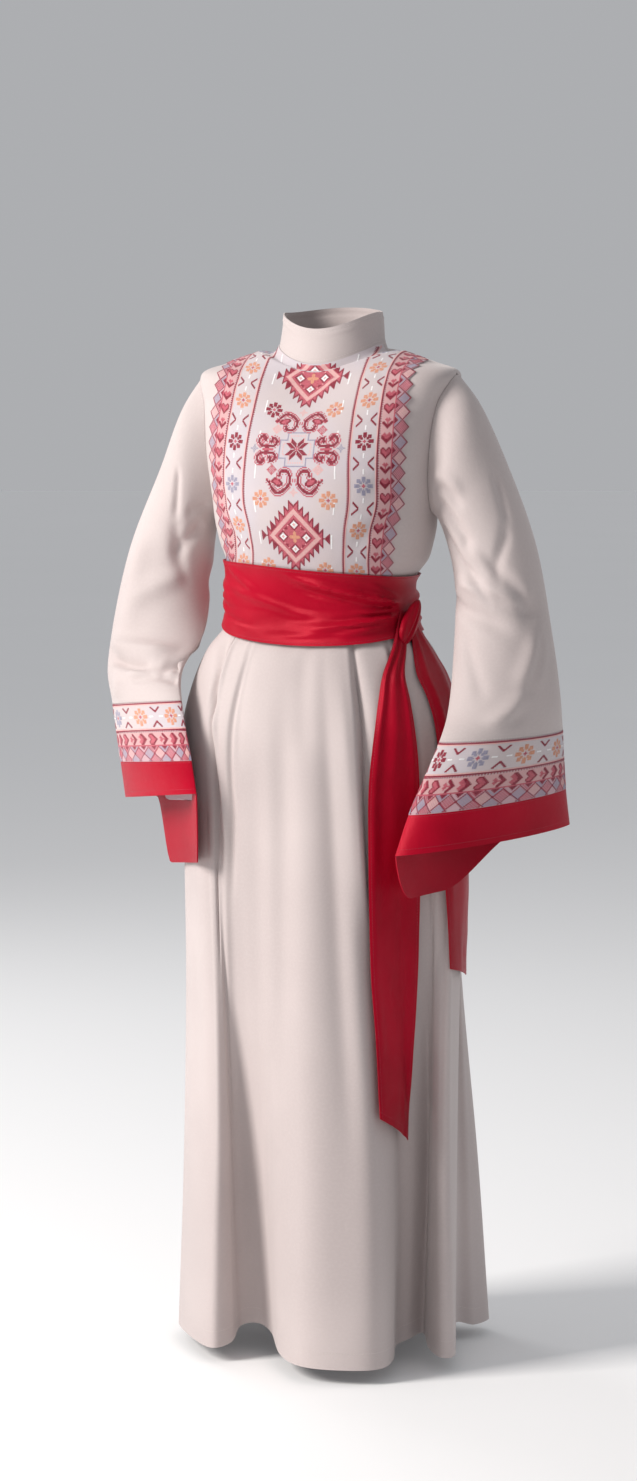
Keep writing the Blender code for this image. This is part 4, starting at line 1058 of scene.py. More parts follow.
def make_tail_shell(name, materials):
    angles, reach, height, share = tail_grid(name)
    falls = np.linspace(0, 1, TAIL_ROWS + 1)
    dense_fall = np.linspace(0, 1, TAIL_SHELL_ROWS + 1)
    dense_share = np.linspace(0, 1, TAIL_SHELL_COLUMNS + 1)

    def denser(values):
        down = along(falls, values, dense_fall)
        return along(share, down.T, dense_share).T

    angles = denser(angles)
    reach = denser(reach)
    height = denser(height)
    folds = TAIL_FOLDS[name]
    ripple = np.zeros_like(reach)
    for k in range(len(folds["width"])):
        place = folds["from_place"][k] + (folds["to_place"][k] - folds["from_place"][k]) * dense_fall
        away = (dense_share - place[:, None]) / (folds["width"][k] * (1 + 0.8 * dense_fall[:, None]))
        fade = 1 - 0.75 * smooth(0.15, folds["fade"][k], dense_fall)
        start = smooth(0.0, 0.08, dense_fall)
        ripple += folds["height"][k] * fade[:, None] * start[:, None] * np.exp(-away**2)
    reach = reach + ripple
    points = np.stack([reach * np.sin(angles), -reach * np.cos(angles), height], -1)
    across = np.gradient(points, axis=1)
    down = np.gradient(points, axis=0)
    normals = unit(np.cross(down, across))
    u, v = cloth_uv(points)
    shell(f"sash_tail_{name}_cloth", points[::-1], normals[::-1], SATIN, u, v,
          materials["satin"], "sash_tail_" + name)
    sides = [seam_line(points.swapaxes(0, 1), normals.swapaxes(0, 1), dense_share, at) for at in (0.05, 0.95)]
    return [*sides, seam_line(points, normals, dense_fall, 0.985)]


def make_knot_shell(materials):
    """The loop of the tie, a narrow padded leaf with folds that turn round it."""
    out = np.array([math.sin(KNOT_ANGLE), -math.cos(KNOT_ANGLE), 0])
    side = np.array([math.cos(KNOT_ANGLE), math.sin(KNOT_ANGLE), 0])
    up = np.array([0, 0, 1.0])
    on_sash = sash(np.array(KNOT_ANGLE), np.array(KNOT_PLACE))
    heights = on_sash[2] + KNOT_HALF_HEIGHT * np.array(KNOT_SPREAD)
    reach = support_reach(np.full(len(heights), KNOT_ANGLE), heights).max()
    centre = out * (reach + KNOT_STAND + KNOT_HALF_DEPTH) + up * on_sash[2]
    tilt, turn = np.meshgrid(np.linspace(0.06, math.pi - 0.06, 49), np.linspace(0, 2 * math.pi, 97)[:-1],
                             indexing="ij")
    front = np.clip(np.sin(turn), 0, 1)
    wrap = 0.09 * np.cos(6 * (np.cos(turn) + 0.25 * np.cos(tilt))) + 0.05 * np.cos(3 * turn + 1.2 * tilt)
    width = np.sin(tilt) * (0.95 + wrap * (0.4 + 0.6 * front) * smooth(0, 0.5, np.sin(tilt)))
    taper = 1 - LOOP_TAPER * np.cos(tilt)
    across = LOOP_WIDTH * KNOT_HALF_WIDTH * width * taper * np.cos(turn)
    tuck = LOOP_TUCK * front * np.exp(-((np.cos(turn) - LOOP_TUCK_PLACE) / LOOP_TUCK_WIDTH) ** 2)
    width = width * (1 - tuck)
    rise = LOOP_HEIGHT * KNOT_HALF_HEIGHT * np.cos(tilt)
    leaning = across * math.cos(LOOP_LEAN) + rise * math.sin(LOOP_LEAN)
    rise = rise * math.cos(LOOP_LEAN) - across * math.sin(LOOP_LEAN) - LOOP_DROP
    points = (side * leaning[..., None] + out * (KNOT_HALF_DEPTH * width * np.sin(turn))[..., None]
              + up * rise[..., None] + centre)
    index = np.arange(tilt.size).reshape(tilt.shape)
    index = np.concatenate([index, index[:, :1]], axis=1)
    faces = np.stack([index[:-1, :-1], index[1:, :-1], index[1:, 1:], index[:-1, 1:]], -1).reshape(-1, 4)
    uvs = np.stack([turn.ravel()[faces % turn.size] * 0.01, tilt.ravel()[faces % turn.size] * 0.012], -1)
    knot = piece("sash_knot_cloth", points.reshape(-1, 3), faces, uvs.reshape(-1, 2),
                 materials["satin"], "sash_knot")


# Thread colours, as codes in the charts and as names: colour and its deeper shade. The white also draws short
# dashes that are a painted sheen highlight.
CRIMSON, ROSE, PEACH, LAVENDER, PALE, WHITE_AND_PAINTED_SHEEN = range(1, 7)
THREADS = {
    CRIMSON: ("crimson", (0.300, 0.008, 0.036), (0.200, 0.005, 0.024)),
    ROSE: ("rose", (0.560, 0.110, 0.150), (0.440, 0.075, 0.110)),
    PEACH: ("peach", (0.700, 0.330, 0.210), (0.600, 0.260, 0.160)),
    LAVENDER: ("lavender", (0.350, 0.330, 0.430), (0.280, 0.260, 0.350)),
    PALE: ("pale_pink", (0.740, 0.440, 0.420), (0.660, 0.370, 0.360)),
    WHITE_AND_PAINTED_SHEEN: ("white_and_painted_sheen", (0.900, 0.880, 0.880), (0.800, 0.780, 0.790)),
}

# Small repeats of the heart band, drawn across the stripe: crimson 1, rose 2
HEARTS = (
    (
        "..2...2..",
        ".222.222.",
        "122222221",
        "112222211",
        "111222111",
        ".1111111.",
        "..11111..",
        "...111...",
        "....1....",
    ),
    (
        "...2.2...",
        "..22222..",
        "...222...",
        "11..2..11",
        "111.2.111",
        ".1112111.",
        "..11111..",
        "...111...",
        "....1....",
    ),
    (
        ".11...11.",
        "1221.1221",
        "122212221",
        "122222221",
        "112222211",
        ".1122211.",
        "..11211..",
        "...111...",
        "....1....",
    ),
)
HEART_WIDTH = 9
# Cells of one flower repeat on the panel and round the trims; three hearts and three diamonds each
PANEL_REPEAT = 36
TRIM_REPEAT = 33
FLOWER_START = 2
FLOWER_MIDDLE = 13
FLOWER_TURN = (CRIMSON, PEACH, PEACH, LAVENDER, CRIMSON, PEACH, PEACH, LAVENDER, ROSE)

# Motifs of the panel's middle field, in cells from its middle and up from the waist
DIAMOND_ROWS = (66, 213)
SAW_STEP = 4.5
SAW_BASE = 27
STAR_ROW = 141
SCROLLS = table("across up turn_across turn_up stretch lying", [
    (1, 156, 1, 1, 1.0, 1),
    (-1, 156, -1, 1, 1.0, 1),
    (1, 125, 1, -1, 1.2, 1),
    (-1, 125, -1, -1, 1.2, 1),
    (26, 141, 1, 1, 1.0, 0),
    (26, 140, 1, -1, 1.0, 0),
    (-26, 141, -1, 1, 1.0, 0),
    (-26, 140, -1, -1, 1.0, 0),
])
LYING_SCROLL = table("across up", [
    (12, 6),
    (10.5, 3),
    (6, 2.5),
    (3, 6),
    (3, 11.5),
    (7.5, 16),
    (13, 18),
    (17.5, 15),
    (20, 11),
    (22.5, 9.5),
])
LYING_BUD = (13.5, 10.5, 4.8, 2.8)
STANDING_SCROLL = table("across up", [
    (-3, 6),
    (-3.5, 9),
    (-6, 9.2),
    (-8, 6.5),
    (-6.5, 3.2),
    (-2, 2.2),
    (3, 2.2),
    (7, 4),
    (8.6, 7.5),
    (6.8, 10.8),
    (3.4, 10.6),
    (2.8, 7.6),
])
FLOWERS = table("across up colour", [
    (-27, 177, CRIMSON),
    (28, 177, PEACH),
    (-29, 98, PEACH),
    (29, 98, PEACH),
    (28, 37, PEACH),
    (-28, 37, PEACH),
])
BLOSSOMS = table("across up size colour", [
    (20, 158, 4, ROSE),
    (-20, 159, 4, PALE),
    (-20, 123, 4, ROSE),
    (20, 123, 4, PALE),
    (0, 176, 3, PALE),
    (0, 104, 3, PALE),
    (38, 141, 3, LAVENDER),
    (-38, 141, 3, LAVENDER),
])


def flower(across, up):
    """1 in the eight petals of a flower, 2 in its small heart."""
    reach = np.hypot(across, up)
    turn = np.arctan2(up, across)
    beside = np.abs((turn + np.pi / 8) % (np.pi / 4) - np.pi / 8) * reach
    petal = (beside < 1.65 - 0.32 * np.abs(reach - 5.6)) & (reach > 2.4) & (reach < 7.8)
    return np.where(petal, 1, np.where(reach < 1.3, 2, 0))


def flower_stripe(across, up, repeat):
    """Codes of one stripe: across runs from its inner edge, up along it."""
    code = np.zeros(np.broadcast(across, up).shape, int)
    last = FLOWER_CELLS - 1
    tooth = up % 2 == 0
    code[(across == 1) | (across == last - 1)] = CRIMSON
    code[((across == 0) | (across == last)) & tooth] = CRIMSON
    code[(across == 2) | (across == last - 2)] = PALE
    beside = across - FLOWER_MIDDLE
    place = up - FLOWER_START + repeat // 2
    along_flower = place % repeat - repeat // 2
    turn = place // repeat % len(FLOWER_TURN)
    petals = flower(beside, along_flower)
    for number, colour in enumerate(FLOWER_TURN):
        code[(petals == 1) & (turn == number)] = colour
    code[petals == 2] = ROSE
    off = np.abs(np.abs(along_flower) - repeat / 2)
    arm = np.abs(beside) - 3.5
    code[(arm >= 0) & (arm <= 5) & (off >= arm - 1) & (off < arm + 1)] = CRIMSON
    # White dashes down the stripe's middle between the flowers: a painted sheen highlight, drawn as white
    # stitches
    code[(beside == 0) & (np.abs(along_flower) > 9) & (np.abs(along_flower) < 14)] = WHITE_AND_PAINTED_SHEEN
    return code


def heart_stripe(across, up, repeat):
    """Codes of the heart band: three small shapes in turn between rose edges."""
    code = np.zeros(np.broadcast(across, up).shape, int)
    pitch = repeat // len(HEARTS)
    column = np.clip(across - 1, 0, HEART_WIDTH - 1)
    within = (across >= 1) & (across <= HEART_WIDTH) & (up % pitch < HEART_WIDTH)
    row = np.clip(HEART_WIDTH - 1 - up % pitch, 0, HEART_WIDTH - 1)
    for place, lines in enumerate(HEARTS):
        chart = np.array([[int(cell) if cell != "." else 0 for cell in line] for line in lines])
        here = within & (up // pitch % len(HEARTS) == place)
        code[here] = chart[row, column][here]
    code[across == HEART_CELLS - 1] = ROSE
    return code


def lattice_stripe(across, up, repeat):
    """Codes of the lattice: crossing lines, filled diamonds and small triangles at its inner edge."""
    code = np.zeros(np.broadcast(across, up).shape, int)
    pitch = repeat // 3
    rising = (up + across) // pitch
    falling = (up - across) // pitch
    line = ((up + across) % pitch == 0) | ((up - across) % pitch == 0)
    hatch = (across + up) % 2 == 0
    code[hatch & ((rising + falling) % 3 == 1)] = ROSE
    code[hatch & ((rising + falling) % 3 == 2)] = LAVENDER
    code[hatch & ((rising + falling) % 6 == 3)] = PALE
    code[line] = CRIMSON
    code[(across < 3) & (np.abs(up % pitch - pitch // 2) < 3 - across)] = CRIMSON
    return code


def scallop(up):
    """How many cells the lattice's outer edge draws back at each place along it."""
    pitch = PANEL_REPEAT / 3
    wedge = np.abs(up % pitch - pitch / 2) / (pitch / 2)
    return 5 * (1 - wedge)


def band_chart(across, up, repeat):
    """Codes of the flower, heart and lattice stripes beside each other."""
    inner = FLOWER_CELLS + HEART_CELLS
    code = flower_stripe(across, up, repeat)
    code = np.where(across >= FLOWER_CELLS, heart_stripe(across - FLOWER_CELLS, up, repeat), code)
    return np.where(across >= inner, lattice_stripe(across - inner, up, repeat), code)


def saw_diamond(across, up):
    """Codes of a diamond with tall saw teeth, and four small diamonds round its middle."""
    code = np.zeros(np.broadcast(across, up).shape, int)
    x = np.abs(across)
    y = np.abs(up)
    reach = x + y
    step = np.floor(x / SAW_STEP)
    inner_edge = step * SAW_STEP
    outer_edge = inner_edge + SAW_STEP
    height = SAW_BASE - inner_edge + (x - inner_edge)
    next_height = SAW_BASE - outer_edge
    inside = (y <= height) & (x <= SAW_BASE)
    outline = inside & ((y > height - 1.4) | ((x >= outer_edge - 1) & (y > next_height - 0.5)))
    code[inside] = ROSE
    code[outline | (inside & (step == 4) & (reach > 25))] = CRIMSON
    code[(x > SAW_BASE) & (x <= SAW_BASE + 5) & (y < x - SAW_BASE)] = CRIMSON
    code[reach <= 24.6] = PALE
    code[reach <= 19.6] = ROSE
    code[(reach <= 16.6) & (reach > 15.4)] = PALE
    code[(x > 6.6) & (y > 6.6) & (reach < 17)] = CRIMSON
    for column, row in ((11, 0), (-11, 0), (0, 11), (0, -11)):
        small = np.abs(across - column) + np.abs(up - row)
        code[small <= 5.6] = CRIMSON
        code[small <= 3.9] = WHITE_AND_PAINTED_SHEEN
        code[small <= 1.6] = PALE
    code[(reach <= 5) & (np.minimum(x, y) < 2)] = PEACH
    return code


def star(across, up):
    """Codes of an eight-pointed star in a stepped outline."""
    code = np.zeros(np.broadcast(across, up).shape, int)
    x = np.abs(across)
    y = np.abs(up)
    far = np.maximum(x, y)
    near = np.minimum(x, y)
    edge = np.minimum(np.maximum(x - 9, y - 15), np.maximum(x - 15, y - 8))
    code[(edge > -1) & (edge <= 0)] = LAVENDER
    code[(edge > -4) & (edge <= -3) & ((x + y) % 2 == 0)] = PALE
    code[(near > 0) & (near <= 5) & (far > near) & (far <= near + 4)] = CRIMSON
    code[(near == 0) & (far < 3)] = ROSE
    return code


def scroll(across, up, line, bud):
    """Codes of a scroll: a line of control points with a thin rose line on both sides."""
    keys = np.arange(len(line["across"]))
    steps = np.linspace(0, len(keys) - 1, 90)
    x = along(keys, line["across"], steps)
    y = along(keys, line["up"], steps)
    width = 1 - 0.45 * smooth(0.70, 1.0, steps / steps[-1]) * (bud is not None)
    away = (np.sqrt((across[..., None] - x)**2 + (up[..., None] - y)**2) / width).min(-1)
    code = np.where(away < 1.15, CRIMSON, np.where((away > 1.9) & (away < 2.6), ROSE, 0))
    if bud is not None:
        middle_x, middle_y, half_x, half_y = bud
        away = np.hypot((across - middle_x) / half_x, (up - middle_y + (across - middle_x) * 0.25) / half_y)
        code[(away < 1) & (code == 0)] = CRIMSON
        code[away < 0.62] = ROSE
    return code


def blossom(across, up, size):
    """1 in a small blossom: a diamond split into eight petals."""
    x = np.abs(across)
    y = np.abs(up)
    return (x + y <= size) & (np.abs(x - y) != 1)


def panel_chart(rows):
    """Codes of the whole chest panel: rows up from the waist seam, columns from right to left."""
    half = CENTRE_CELLS + BAND_CELLS
    across, up = np.meshgrid(np.arange(-half, half), np.arange(rows))
    side = np.where(across < 0, -1 - across, across)
    chart = np.where(side >= CENTRE_CELLS, band_chart(side - CENTRE_CELLS, up, PANEL_REPEAT), 0)
    chart[side - CENTRE_CELLS > BAND_CELLS - 1 - scallop(up)] = 0

    def paint(code):
        shown = (code > 0) & (side < CENTRE_CELLS)
        chart[shown] = code[shown]

    # White dashes ten cells in from each side of the middle field: a painted sheen highlight, drawn as white
    # stitches
    chart[(side == CENTRE_CELLS - 10) & (up % 29 < 12)] = WHITE_AND_PAINTED_SHEEN
    for row in DIAMOND_ROWS:
        paint(saw_diamond(across, up - row))
    paint(star(across, up - STAR_ROW))
    for k in range(len(SCROLLS["up"])):
        x = (across - SCROLLS["across"][k]) * SCROLLS["turn_across"][k]
        y = (up - SCROLLS["up"][k]) * SCROLLS["turn_up"][k] / SCROLLS["stretch"][k]
        if SCROLLS["lying"][k]:
            paint(scroll(x, y, LYING_SCROLL, LYING_BUD))
        else:
            paint(scroll(x, y, STANDING_SCROLL, None))
    for k in range(len(FLOWERS["up"])):
        petals = flower(across - FLOWERS["across"][k], up - FLOWERS["up"][k])
        paint(np.where(petals == 1, int(FLOWERS["colour"][k]), np.where(petals == 2, ROSE, 0)))
    for k in range(len(BLOSSOMS["up"])):
        petals = blossom(across - BLOSSOMS["across"][k], up - BLOSSOMS["up"][k], BLOSSOMS["size"][k])
        paint(np.where(petals, int(BLOSSOMS["colour"][k]), 0))
    return chart


def panel_outer(angle, level):
    return bodice(angle, level) + outward(torso, angle, level) * (SEAM_GAP + PANEL_CLOTH)


def turns_along(level, edge, shares):
    """Angles at shares of the length from the front middle to an edge angle, on one ring."""
    turn = np.linspace(0, edge, 60)
    length = run_lengths(torso(turn, np.full(60, level))[:, None], 0)[:, 0]
    return np.interp(np.abs(shares), length / length[-1], turn) * np.sign(shares)


def panel_corners():
    """Corners of the panel's cells, with their normals and levels, and which lie on the cloth."""
    half = CENTRE_CELLS + BAND_CELLS
    share = np.linspace(-1, 1, 2 * half + 1)
    levels = np.linspace(0, YOKE_LEVEL, 90)
    low = [turns_along(level, edge, share) for level, edge in zip(levels, panel_angles(levels)[:, -1])]
    at_yoke = torso(low[-1], np.full(len(share), YOKE_LEVEL))[:, 0]
    high_levels = np.linspace(YOKE_LEVEL, NECK_LEVEL, 70)[1:]
    high = []
    for level, limit in zip(high_levels, arm_angle(high_levels, "front") - seam_angle(high_levels)):
        turn = angle_at(np.abs(at_yoke), np.full(len(share), level))
        high.append(np.where(np.abs(at_yoke) < torso(limit, level)[0], turn, limit) * np.sign(share))
    yoke = len(levels) - 1
    levels = np.concatenate([levels, high_levels])
    angles = np.array(low + high)
    length = run_lengths(torso(angles, levels[:, None]), 0)
    length[yoke:] += length[yoke, half] - length[yoke]
    length[:yoke] = length[:yoke, half:half + 1]
    wanted = np.arange(int(length[-1].max() / CELL) + 1) * CELL
    cell_angles = np.empty((len(wanted), len(share)))
    cell_levels = np.empty_like(cell_angles)
    for column in range(len(share)):
        cell_levels[:, column] = np.interp(wanted, length[:, column], levels)
        cell_angles[:, column] = np.interp(wanted, length[:, column], angles[:, column])
    limit = arm_angle(cell_levels, "front") - seam_angle(cell_levels)
    on_cloth = (wanted[:, None] <= length[-1] - 0.001) & (np.abs(cell_angles) < limit - 0.012)
    corners = panel_outer(cell_angles, cell_levels)
    return corners, outward(torso, cell_angles, cell_levels), cell_levels, on_cloth


def stitch_bars(start, end, up, width, lift, dip):
    """Bars of thread from start to end: six points each, their ends sunk into the cloth."""
    line = end - start
    side = unit(np.cross(up, line)) * width
    base = up * 0.00002
    first = start + line * 0.03 + base
    last = end - line * 0.03 + base
    return np.stack([first - side, first + side, start + line * dip + up * lift,
                     last - side, last + side, end - line * dip + up * lift], 1)


def stitch_piece(name, bars, length, material):
    """One mesh of many bars, its uvs across and along each bar."""
    points = np.concatenate(bars).reshape(-1, 3)
    shape = np.array([[0, 2, 5], [0, 5, 3], [2, 1, 4], [2, 4, 5], [1, 2, 0], [3, 5, 4]])
    faces = (np.arange(0, len(points), 6)[:, None, None] + shape).reshape(-1, 3)
    uv = np.stack([np.array([-1, 1, 0, -1, 1, 0]) * CELL / 4, np.array([0, 0, 0, 1, 1, 1]) * length], -1)
    uvs = np.tile(uv[shape.ravel()], (len(points) // 6, 1))
    return piece(name, points, faces, uvs, material)


def add_cross_stitch(name, corners, normals, chart, materials):
    """Crossed bars of floss over each coloured cell of a chart, one piece for each colour."""
    for code, (colour, _, _) in THREADS.items():
        chosen = chart == code
        a, b = corners[:-1, :-1][chosen], corners[:-1, 1:][chosen]
        c, d = corners[1:, 1:][chosen], corners[1:, :-1][chosen]
        up = normals[:-1, :-1][chosen]
        bars = [stitch_bars(a, c, up, CELL * STITCH_WIDTH, STITCH_LIFT, 0.2),
                stitch_bars(b, d, up, CELL * STITCH_WIDTH, STITCH_LIFT * 1.45, 0.2)]
        stitch_piece(f"{name}_stitches_{colour}", bars, CELL * 1.4, materials[colour])


def make_panel(materials):
    """The panel's shell, drawn back into scallops at its side edges, and its cross-stitch."""
    half = CENTRE_CELLS + BAND_CELLS
    corners, normals, cell_levels, on_cloth = panel_corners()
    chart = panel_chart(corners.shape[0] - 1)
    chart[~(on_cloth[:-1, :-1] & on_cloth[1:, 1:] & on_cloth[:-1, 1:] & on_cloth[1:, :-1])] = 0
    add_cross_stitch("chest", corners, normals, chart, materials)
    levels = np.linspace(0, NECK_LEVEL, PANEL_ROWS + 1)
    share = np.linspace(-1, 1, PANEL_SHELL_COLUMNS + 1)
    edge_rows = np.interp(levels, cell_levels[:, 2], np.arange(len(cell_levels)))
    drawn = scallop(edge_rows) / half * (1 - smooth(0.76, 0.82, levels))
    shares = share * (1 - drawn[:, None] * smooth(0.90, 1.0, np.abs(share)))
    angles = np.array([turns_along(level, edge, row)
                       for level, edge, row in zip(levels, panel_angles(levels)[:, -1], shares)])
    rows = np.broadcast_to(levels[:, None], angles.shape)
    yoke_shares = np.linspace(0, 1, 95)
    yoke_angles = turns_along(YOKE_LEVEL, panel_angles(np.array([YOKE_LEVEL]))[0, -1], yoke_shares)
    yoke_x = torso(yoke_angles, np.full(95, YOKE_LEVEL))[:, 0]
    by_width = np.interp(np.abs(torso(angles, rows)[..., 0]), yoke_x, yoke_shares)
    across = np.where(rows < YOKE_LEVEL, shares, by_width * np.sign(share)) * half * CELL
    up = run_lengths(torso(np.zeros(len(levels)), levels)[:, None], 0)
    shell("chest_panel_cloth", panel_outer(angles, rows), outward(torso, angles, rows), PANEL_CLOTH,
          across, up, materials["ground"], "chest_panel")


def make_trim_stitches(side, materials):
    """Cross-stitch on a sleeve's trim: the same stripes laid round it."""
    gap = SLEEVE_GAP / SLEEVE_LENGTH
    runs = np.linspace(TRIM_RUN + 0.001, CUFF_RUN - gap - 0.001, BAND_CELLS + 1)
    around = TRIM_REPEATS * TRIM_REPEAT
    corners, normals = sleeve_grid(side, runs, around)
    corners = np.concatenate([corners, corners[:, :1]], axis=1)
    normals = np.concatenate([normals, normals[:, :1]], axis=1)
    across, up = np.meshgrid(np.arange(BAND_CELLS), np.arange(around), indexing="ij")
    add_cross_stitch("sleeve_trim_" + side, corners, normals, band_chart(across, up, TRIM_REPEAT), materials)


def seam_line(points, normals, keys, key, closed=False):
    """Bars of a row of machine stitches across a grid, where its rows' key has that value."""
    if closed:
        points = np.concatenate([points, points[:, :1]], axis=1)
        normals = np.concatenate([normals, normals[:, :1]], axis=1)
    row = np.interp(key, keys, np.arange(len(keys)))
    low = min(int(row), len(keys) - 2)
    part = row - low
    line = points[low] * (1 - part) + points[low + 1] * part
    up = unit(normals[low] * (1 - part) + normals[low + 1] * part)
    length = run_lengths(line[:, None], 0)[:, 0]
    count = int(length[-1] / SEAM_STITCH)
    starts = (np.arange(count) + 0.2) * length[-1] / count
    ends = starts + 0.66 * length[-1] / count

    def on_line(values, at):
        return np.stack([np.interp(at, length, values[:, axis]) for axis in range(3)], -1)

    raised = on_line(up, (starts + ends) / 2)
    return stitch_bars(on_line(line, starts), on_line(line, ends), raised, SEAM_WIDTH, SEAM_LIFT, 0.15)


class Nodes:
    """Short calls for building a material's nodes."""

    def __init__(self, name):
        self.material = bpy.data.materials.new(name)
        self.material.use_nodes = True
        self.tree = self.material.node_tree
        self.shader = self.tree.nodes["Principled BSDF"]

    def add(self, kind, settings=None, **inputs):
        node = self.tree.nodes.new(kind)
        for key, value in (settings or {}).items():
            setattr(node, key, value)
        for key, value in inputs.items():
            self.join(node, key.replace("_", " "), value)
        return node

    def join(self, node, key, value):
        socket = node.inputs[int(key) if key.isdigit() else key]
        if isinstance(value, bpy.types.NodeSocket):
            self.tree.links.new(value, socket)
        elif isinstance(value, bpy.types.Node):
            self.tree.links.new(value.outputs[0], socket)
        else:
            socket.default_value = value

    def math(self, operation, a, b=0.0):
        node = self.add("ShaderNodeMath", {"operation": operation})
        self.join(node, "0", a)
        self.join(node, "1", b)
        return node.outputs[0]

    def noise(self, vector, scale, detail=2.0, roughness=0.5):
        node = self.add("ShaderNodeTexNoise", Scale=scale, Detail=detail, Roughness=roughness)
        self.join(node, "Vector", vector)
        return node.outputs["Fac"]

    def between(self, value, low, high):
        """Stretches a value so that low becomes 0 and high becomes 1."""
        node = self.add("ShaderNodeMapRange", {"interpolation_type": "SMOOTHSTEP"})
        self.join(node, "Value", value)
        self.join(node, "From Min", low)
        self.join(node, "From Max", high)
        return node.outputs["Result"]

    def mix(self, factor, first, second):
        node = self.add("ShaderNodeMix", {"data_type": "RGBA"})
        self.join(node, "0", factor)
        self.join(node, "6", first)
        self.join(node, "7", second)
        return node.outputs[2]

    def bump(self, height, distance, strength=1.0, normal=None):
        node = self.add("ShaderNodeBump", Distance=distance, Strength=strength)
        self.join(node, "Height", height)
        if normal is not None:
            self.join(node, "Normal", normal)
        return node.outputs["Normal"]

    def finish(self, colour, roughness, normal, sheen=0.0, sheen_roughness=0.5, sheen_tint=(1, 1, 1, 1)):
        self.join(self.shader, "Base Color", colour)
        self.join(self.shader, "Roughness", roughness)
        self.join(self.shader, "Normal", normal)
        self.shader.inputs["Metallic"].default_value = 0.0
        self.shader.inputs["Sheen Weight"].default_value = sheen
        self.shader.inputs["Sheen Roughness"].default_value = sheen_roughness
        self.shader.inputs["Sheen Tint"].default_value = sheen_tint
        return self.material


def threads(nodes, uv, pitch, across=True):
    """Height of threads that run along one direction of the uvs, in metres apart."""
    parts = nodes.add("ShaderNodeSeparateXYZ", Vector=uv)
    value = parts.outputs[0 if across else 1]
    turn = nodes.math("MULTIPLY", value, 2 * math.pi / pitch)
    return nodes.math("SINE", turn)


def crepe_material():
    """Matt crepe: a pebbled grain of twisted yarn, soft tone changes, and a faint sheen."""
    nodes = Nodes("crepe_cloth")
    uv = nodes.add("ShaderNodeTexCoord").outputs["UV"]
    place = nodes.add("ShaderNodeTexCoord").outputs["Object"]
    grain = nodes.add("ShaderNodeTexVoronoi", {"feature": "SMOOTH_F1"}, Scale=1400.0, Smoothness=0.6)
    nodes.join(grain, "Vector", uv)
    weave = nodes.math("MULTIPLY", threads(nodes, uv, 0.00075), threads(nodes, uv, 0.0008, across=False))
    pebble = nodes.noise(uv, 900.0, 3.0, 0.6)
    relief = nodes.math("ADD", nodes.math("MULTIPLY", grain.outputs["Distance"], 0.8),
                        nodes.math("ADD", nodes.math("MULTIPLY", weave, 0.25), pebble))
    tone = nodes.between(nodes.noise(place, 3.2, 3.0), 0.35, 0.68)
    colour = nodes.mix(tone, (0.470, 0.405, 0.395, 1), (0.530, 0.460, 0.448, 1))
    slub = nodes.between(nodes.noise(uv, 260.0, 2.0), 0.40, 0.66)
    colour = nodes.mix(nodes.math("MULTIPLY", slub, 0.15), colour, (0.580, 0.515, 0.500, 1))
    yarn = nodes.between(pebble, 0.30, 0.72)
    colour = nodes.mix(nodes.math("MULTIPLY", yarn, 0.09), colour, (0.36, 0.305, 0.30, 1))
    roughness = nodes.math("ADD", nodes.math("MULTIPLY", pebble, 0.16), 0.68)
    wide = nodes.bump(nodes.noise(place, 14.0, 2.0), 0.003, 0.08)
    normal = nodes.bump(relief, 0.00018, 0.55, wide)
    return nodes.finish(colour, roughness, normal, 0.35, 0.45, (1.0, 0.96, 0.94, 1))


def ground_material():
    """Even-weave ground of the embroidery, tinted under the heart band and the lattice."""
    nodes = Nodes("embroidery_ground")
    uv = nodes.add("ShaderNodeTexCoord").outputs["UV"]
    place = nodes.add("ShaderNodeTexCoord").outputs["Object"]
    parts = nodes.add("ShaderNodeSeparateXYZ", Vector=uv)
    from_middle = nodes.math("ABSOLUTE", parts.outputs[0])
    weave = nodes.math("MULTIPLY", threads(nodes, uv, CELL), threads(nodes, uv, CELL, across=False))
    fine = nodes.math("MULTIPLY", threads(nodes, uv, CELL / 2), threads(nodes, uv, CELL / 2, across=False))
    rough = nodes.math("ADD", weave, nodes.noise(uv, 1100.0, 2.0))
    relief = nodes.math("ADD", nodes.math("MULTIPLY", fine, 0.6), rough)
    tone = nodes.between(nodes.noise(place, 9.0, 3.0), 0.36, 0.66)
    colour = nodes.mix(tone, (0.600, 0.520, 0.520, 1), (0.570, 0.520, 0.560, 1))
    hearts_from = CENTRE_CELLS + FLOWER_CELLS
    hearts = nodes.between(from_middle, (hearts_from - 0.5) * CELL, (hearts_from + 0.5) * CELL)
    colour = nodes.mix(nodes.math("MULTIPLY", hearts, 0.85), colour, (0.620, 0.330, 0.330, 1))
    lattice_from = hearts_from + HEART_CELLS
    outer = nodes.between(from_middle, (lattice_from - 0.5) * CELL, (lattice_from + 0.5) * CELL)
    colour = nodes.mix(nodes.math("MULTIPLY", outer, 0.75), colour, (0.540, 0.360, 0.410, 1))
    holes = nodes.between(weave, 0.55, 0.95)
    colour = nodes.mix(nodes.math("MULTIPLY", holes, 0.22), colour, (0.42, 0.30, 0.31, 1))
    wide = nodes.bump(nodes.noise(place, 30.0, 2.0), 0.003, 0.2)
    normal = nodes.bump(relief, 0.00025, 0.7, wide)
    return nodes.finish(colour, 0.82, normal, 0.2, 0.5)


